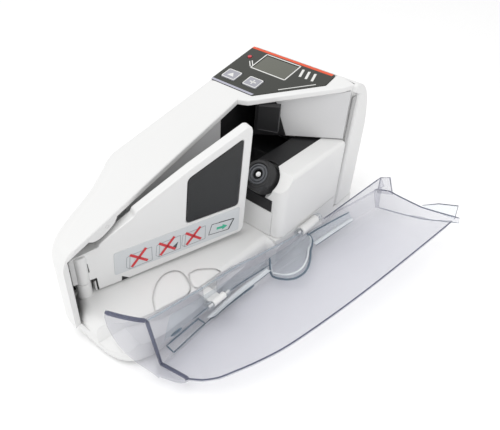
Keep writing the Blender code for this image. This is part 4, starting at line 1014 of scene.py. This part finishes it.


# ribs along the crease in a painted highlight, for the light on the fillet between wall and plate; channels
# and moulded lines along the crease
band("rib_highlight_left", run((47, 0.97), (88, 0.74)), run((40, 0.86), (85, 0.60)), 0.2, 1.5, CLEAR_HIGHLIGHT)
band("rib_highlight_right", run((126, 0.92), (159, 0.86)), run((124, 0.78), (158, 0.72)), 0.2, 1.5, CLEAR_HIGHLIGHT)
band("channel_right", run((124, 0.76), (158, 0.70)), run((120, 0.30), (154, 0.32)), 0.1, 0.5, CLEAR_HINT)
band("channel_left", run((10, 0.60), (84, 0.58)), run((16, 0.16), (88, 0.30)), 0.1, 0.4, CLEAR_HINT)
LINES = (
    ("line_right_1", (120, 0.27), (154, 0.30), 0.6, 0.45),
    ("line_right_2", (126, 0.96), (160, 0.90), 0.6, 0.4),
    ("line_left_1", (44, 0.995), (75, 0.90), 0.7, 0.6),
    ("line_left_2", (38, 0.99), (87, 0.79), 0.6, 0.35),
    ("line_left_3", (30, 0.60), (87, 0.52), 0.6, 0.3),
)
for name, start, end, lift, radius in LINES:
    tube(name, [surf(*q, lift) for q in run(start, end)], radius, CLEAR_LINE)
frame_pts = [(11, 0.72), (34, 0.70), (38.6, 0.98), (15, 1.0), (11, 0.72)]
path = []
for a, b in zip(frame_pts, frame_pts[1:]):
    path += run(a, b, 5)[:-1]
tube("recess_line", [surf(*q, 0.5) for q in path + [frame_pts[0]]], 0.42, CLEAR_LINE)
tube("slot_line", [surf(*q, 0.5) for q in run((15, 0.60), (22, 0.60), 4)], 0.8, CLEAR_LINE)

# finger scoop: a shallow bowl pressed through the crease, with a doubled rim whose inner lip is a painted
# highlight
SCOOP = [(88, 0.28), (88.0, 0.6), (88.2, 0.88), (87.8, 1.06), (88.4, 1.18), (91.0, 1.26), (95.5, 1.285)]
SCOOP += [(100.5, 1.27), (107.0, 1.21), (114.0, 1.12), (120.0, 1.03), (123.0, 0.86), (123.6, 0.62)]
SCOOP += [(122.0, 0.38), (120.0, 0.2)]
scoop = flow([surf(x, s, 0.4) for x, s in SCOOP], 3)
last = len(scoop) - 1
chord = [Vector(scoop[0]).lerp(Vector(scoop[-1]), k / last) for k in range(len(scoop))]
away = Vector(opened((100, PLATE_Y, 10))) - Vector(opened((100, PLATE_Y + 10, 4)))
away = (away.normalized() + Vector((0, 0, -1))).normalized()
bowl = []
for k in range(9):
    f = k / 8.0
    depth = 5.0 * math.sin(math.pi * f) ** 0.8
    bowl.append([Vector(a).lerp(b, f) + away * depth * math.sin(math.pi * i / last) ** 0.7
                 for i, (a, b) in enumerate(zip(scoop, chord))])
scoop_bowl = sheet("scoop_bowl", bowl, 0.5)
show(scoop_bowl, CLEAR_HINT, "cover", (), 60.0, True, (CLEAR_LINE,))
tube("scoop_rim", scoop, 0.6, CLEAR_LINE)
inner = [Vector(a).lerp(b, 0.16) for a, b in zip(scoop, chord)]
tube("scoop_lip_highlight", inner[2:-2], 0.55, CLEAR_HIGHLIGHT)

# lighter lines on the sensor hood's edges: painted highlights where they catch the light
HOOD_LOW = [(121.7, -39.3, 48.0), (126.8, -50.1, 48.0), (129.4, -48.8, 48.0)]
tube("hood_edge_low", HOOD_LOW, 0.22, HOOD_HIGHLIGHT, "root")
tube("hood_edge_side", [(129.5, -48.8, 48.2), (129.5, -48.8, 63.0)], 0.2, HOOD_HIGHLIGHT, "root")
tube("hood_edge_front", [(126.8, -50.1, 48.2), (126.8, -50.1, 63.0)], 0.2, HOOD_HIGHLIGHT, "root")

# free edges: heavy at the lobe and its corner, thin along the rest
lobe_top = [opened(column[0]) for column in columns[:4]]
tube("edge_lobe", flow(lobe_top, 4), 1.05, CLEAR_RIM)
tube("edge_corner", flow([opened(q) for q in columns[3]], 2), 0.95, CLEAR_RIM)
tube("edge_free", flow([opened(c[0]) for c in columns[3:20]], 2), 0.45, CLEAR_BLUE)
tube("edge_far", flow([opened(c[-1]) for c in columns[2:]], 2), 0.42, CLEAR_RIM)
tube("edge_end", [row[-1] for row in wall_rows], 0.42, CLEAR_RIM)
tube("edge_end_low", [row[0] for row in wall_rows[2:]], 0.22, CLEAR_LINE)

# right end: the lip turned in at the top, the slanting corner piece and the ear behind it
LIP = [(178.6, -87.4, 44.0), (179.2, -85.2, 54.0), (179.2, -84.9, 65.4), (178.8, -93.8, 63.0)]
lip = loft("cover_lip", [[opened((x - d, y, z)) for x, y, z in LIP] for d in (0.0, 0.8)])
show(lip, CLEAR_HINT, "cover")
tube("lip_line", [opened(q) for q in LIP], 0.36, CLEAR_RIM)
FILLET_START = 134.0
fillet_tip = Vector((184.0, -74.4, 14.6))
tips = []
for k in range(13):
    f = k / 12.0
    low = closed_point(FILLET_START + 49.6 * f, 0.0)
    high = closed_point(FILLET_START, 0.0).lerp(fillet_tip, f)
    tips.append([opened(low), opened(low.lerp(high, 0.5)), opened(high)])
show(sheet("cover_fillet", tips, 0.8), CLEAR, "cover", (), 50.0, True, (CLEAR_RIM,))
tube("fillet_line", [row[-1] for row in tips], 0.4, CLEAR_RIM)
EAR = [(182.3, -84.9, 12.0), (184.0, -74.4, 14.6), (184.0, -73.6, 21.2), (182.3, -84.9, 22.5)]
ear = loft("cover_ear", [[opened((x + d, y, z)) for x, y, z in EAR] for d in (0.0, 1.2)])
show(ear, CLEAR, "cover")
tube("ear_line", [opened(q) for q in EAR], 0.36, CLEAR_RIM)
for x0, x1 in LUGS:
    for k0, k1 in ((x0 - 3.7, x0 - 0.55), (x1 + 0.55, x1 + 3.7)):
        barrel = rod("cover_knuckle", (k0, HINGE_Y, HINGE_Z), (k1, HINGE_Y, HINGE_Z), 2.2, 32)
        show(barrel, CLEAR_HINT, "cover")

# ------------------------------------------------------------------ floor
floor_mesh = bpy.data.meshes.new("floor")
floor_mesh.from_pydata([(-3, -3, 0), (3, -3, 0), (3, 3, 0), (-3, 3, 0)], [], [(0, 1, 2, 3)])
floor = bpy.data.objects.new("floor", floor_mesh)
bpy.context.scene.collection.objects.link(floor)
floor_mesh.materials.append(moulded("floor_white", (0.99, 0.99, 0.99), 0.8, 0.0, 900.0, 0.004))
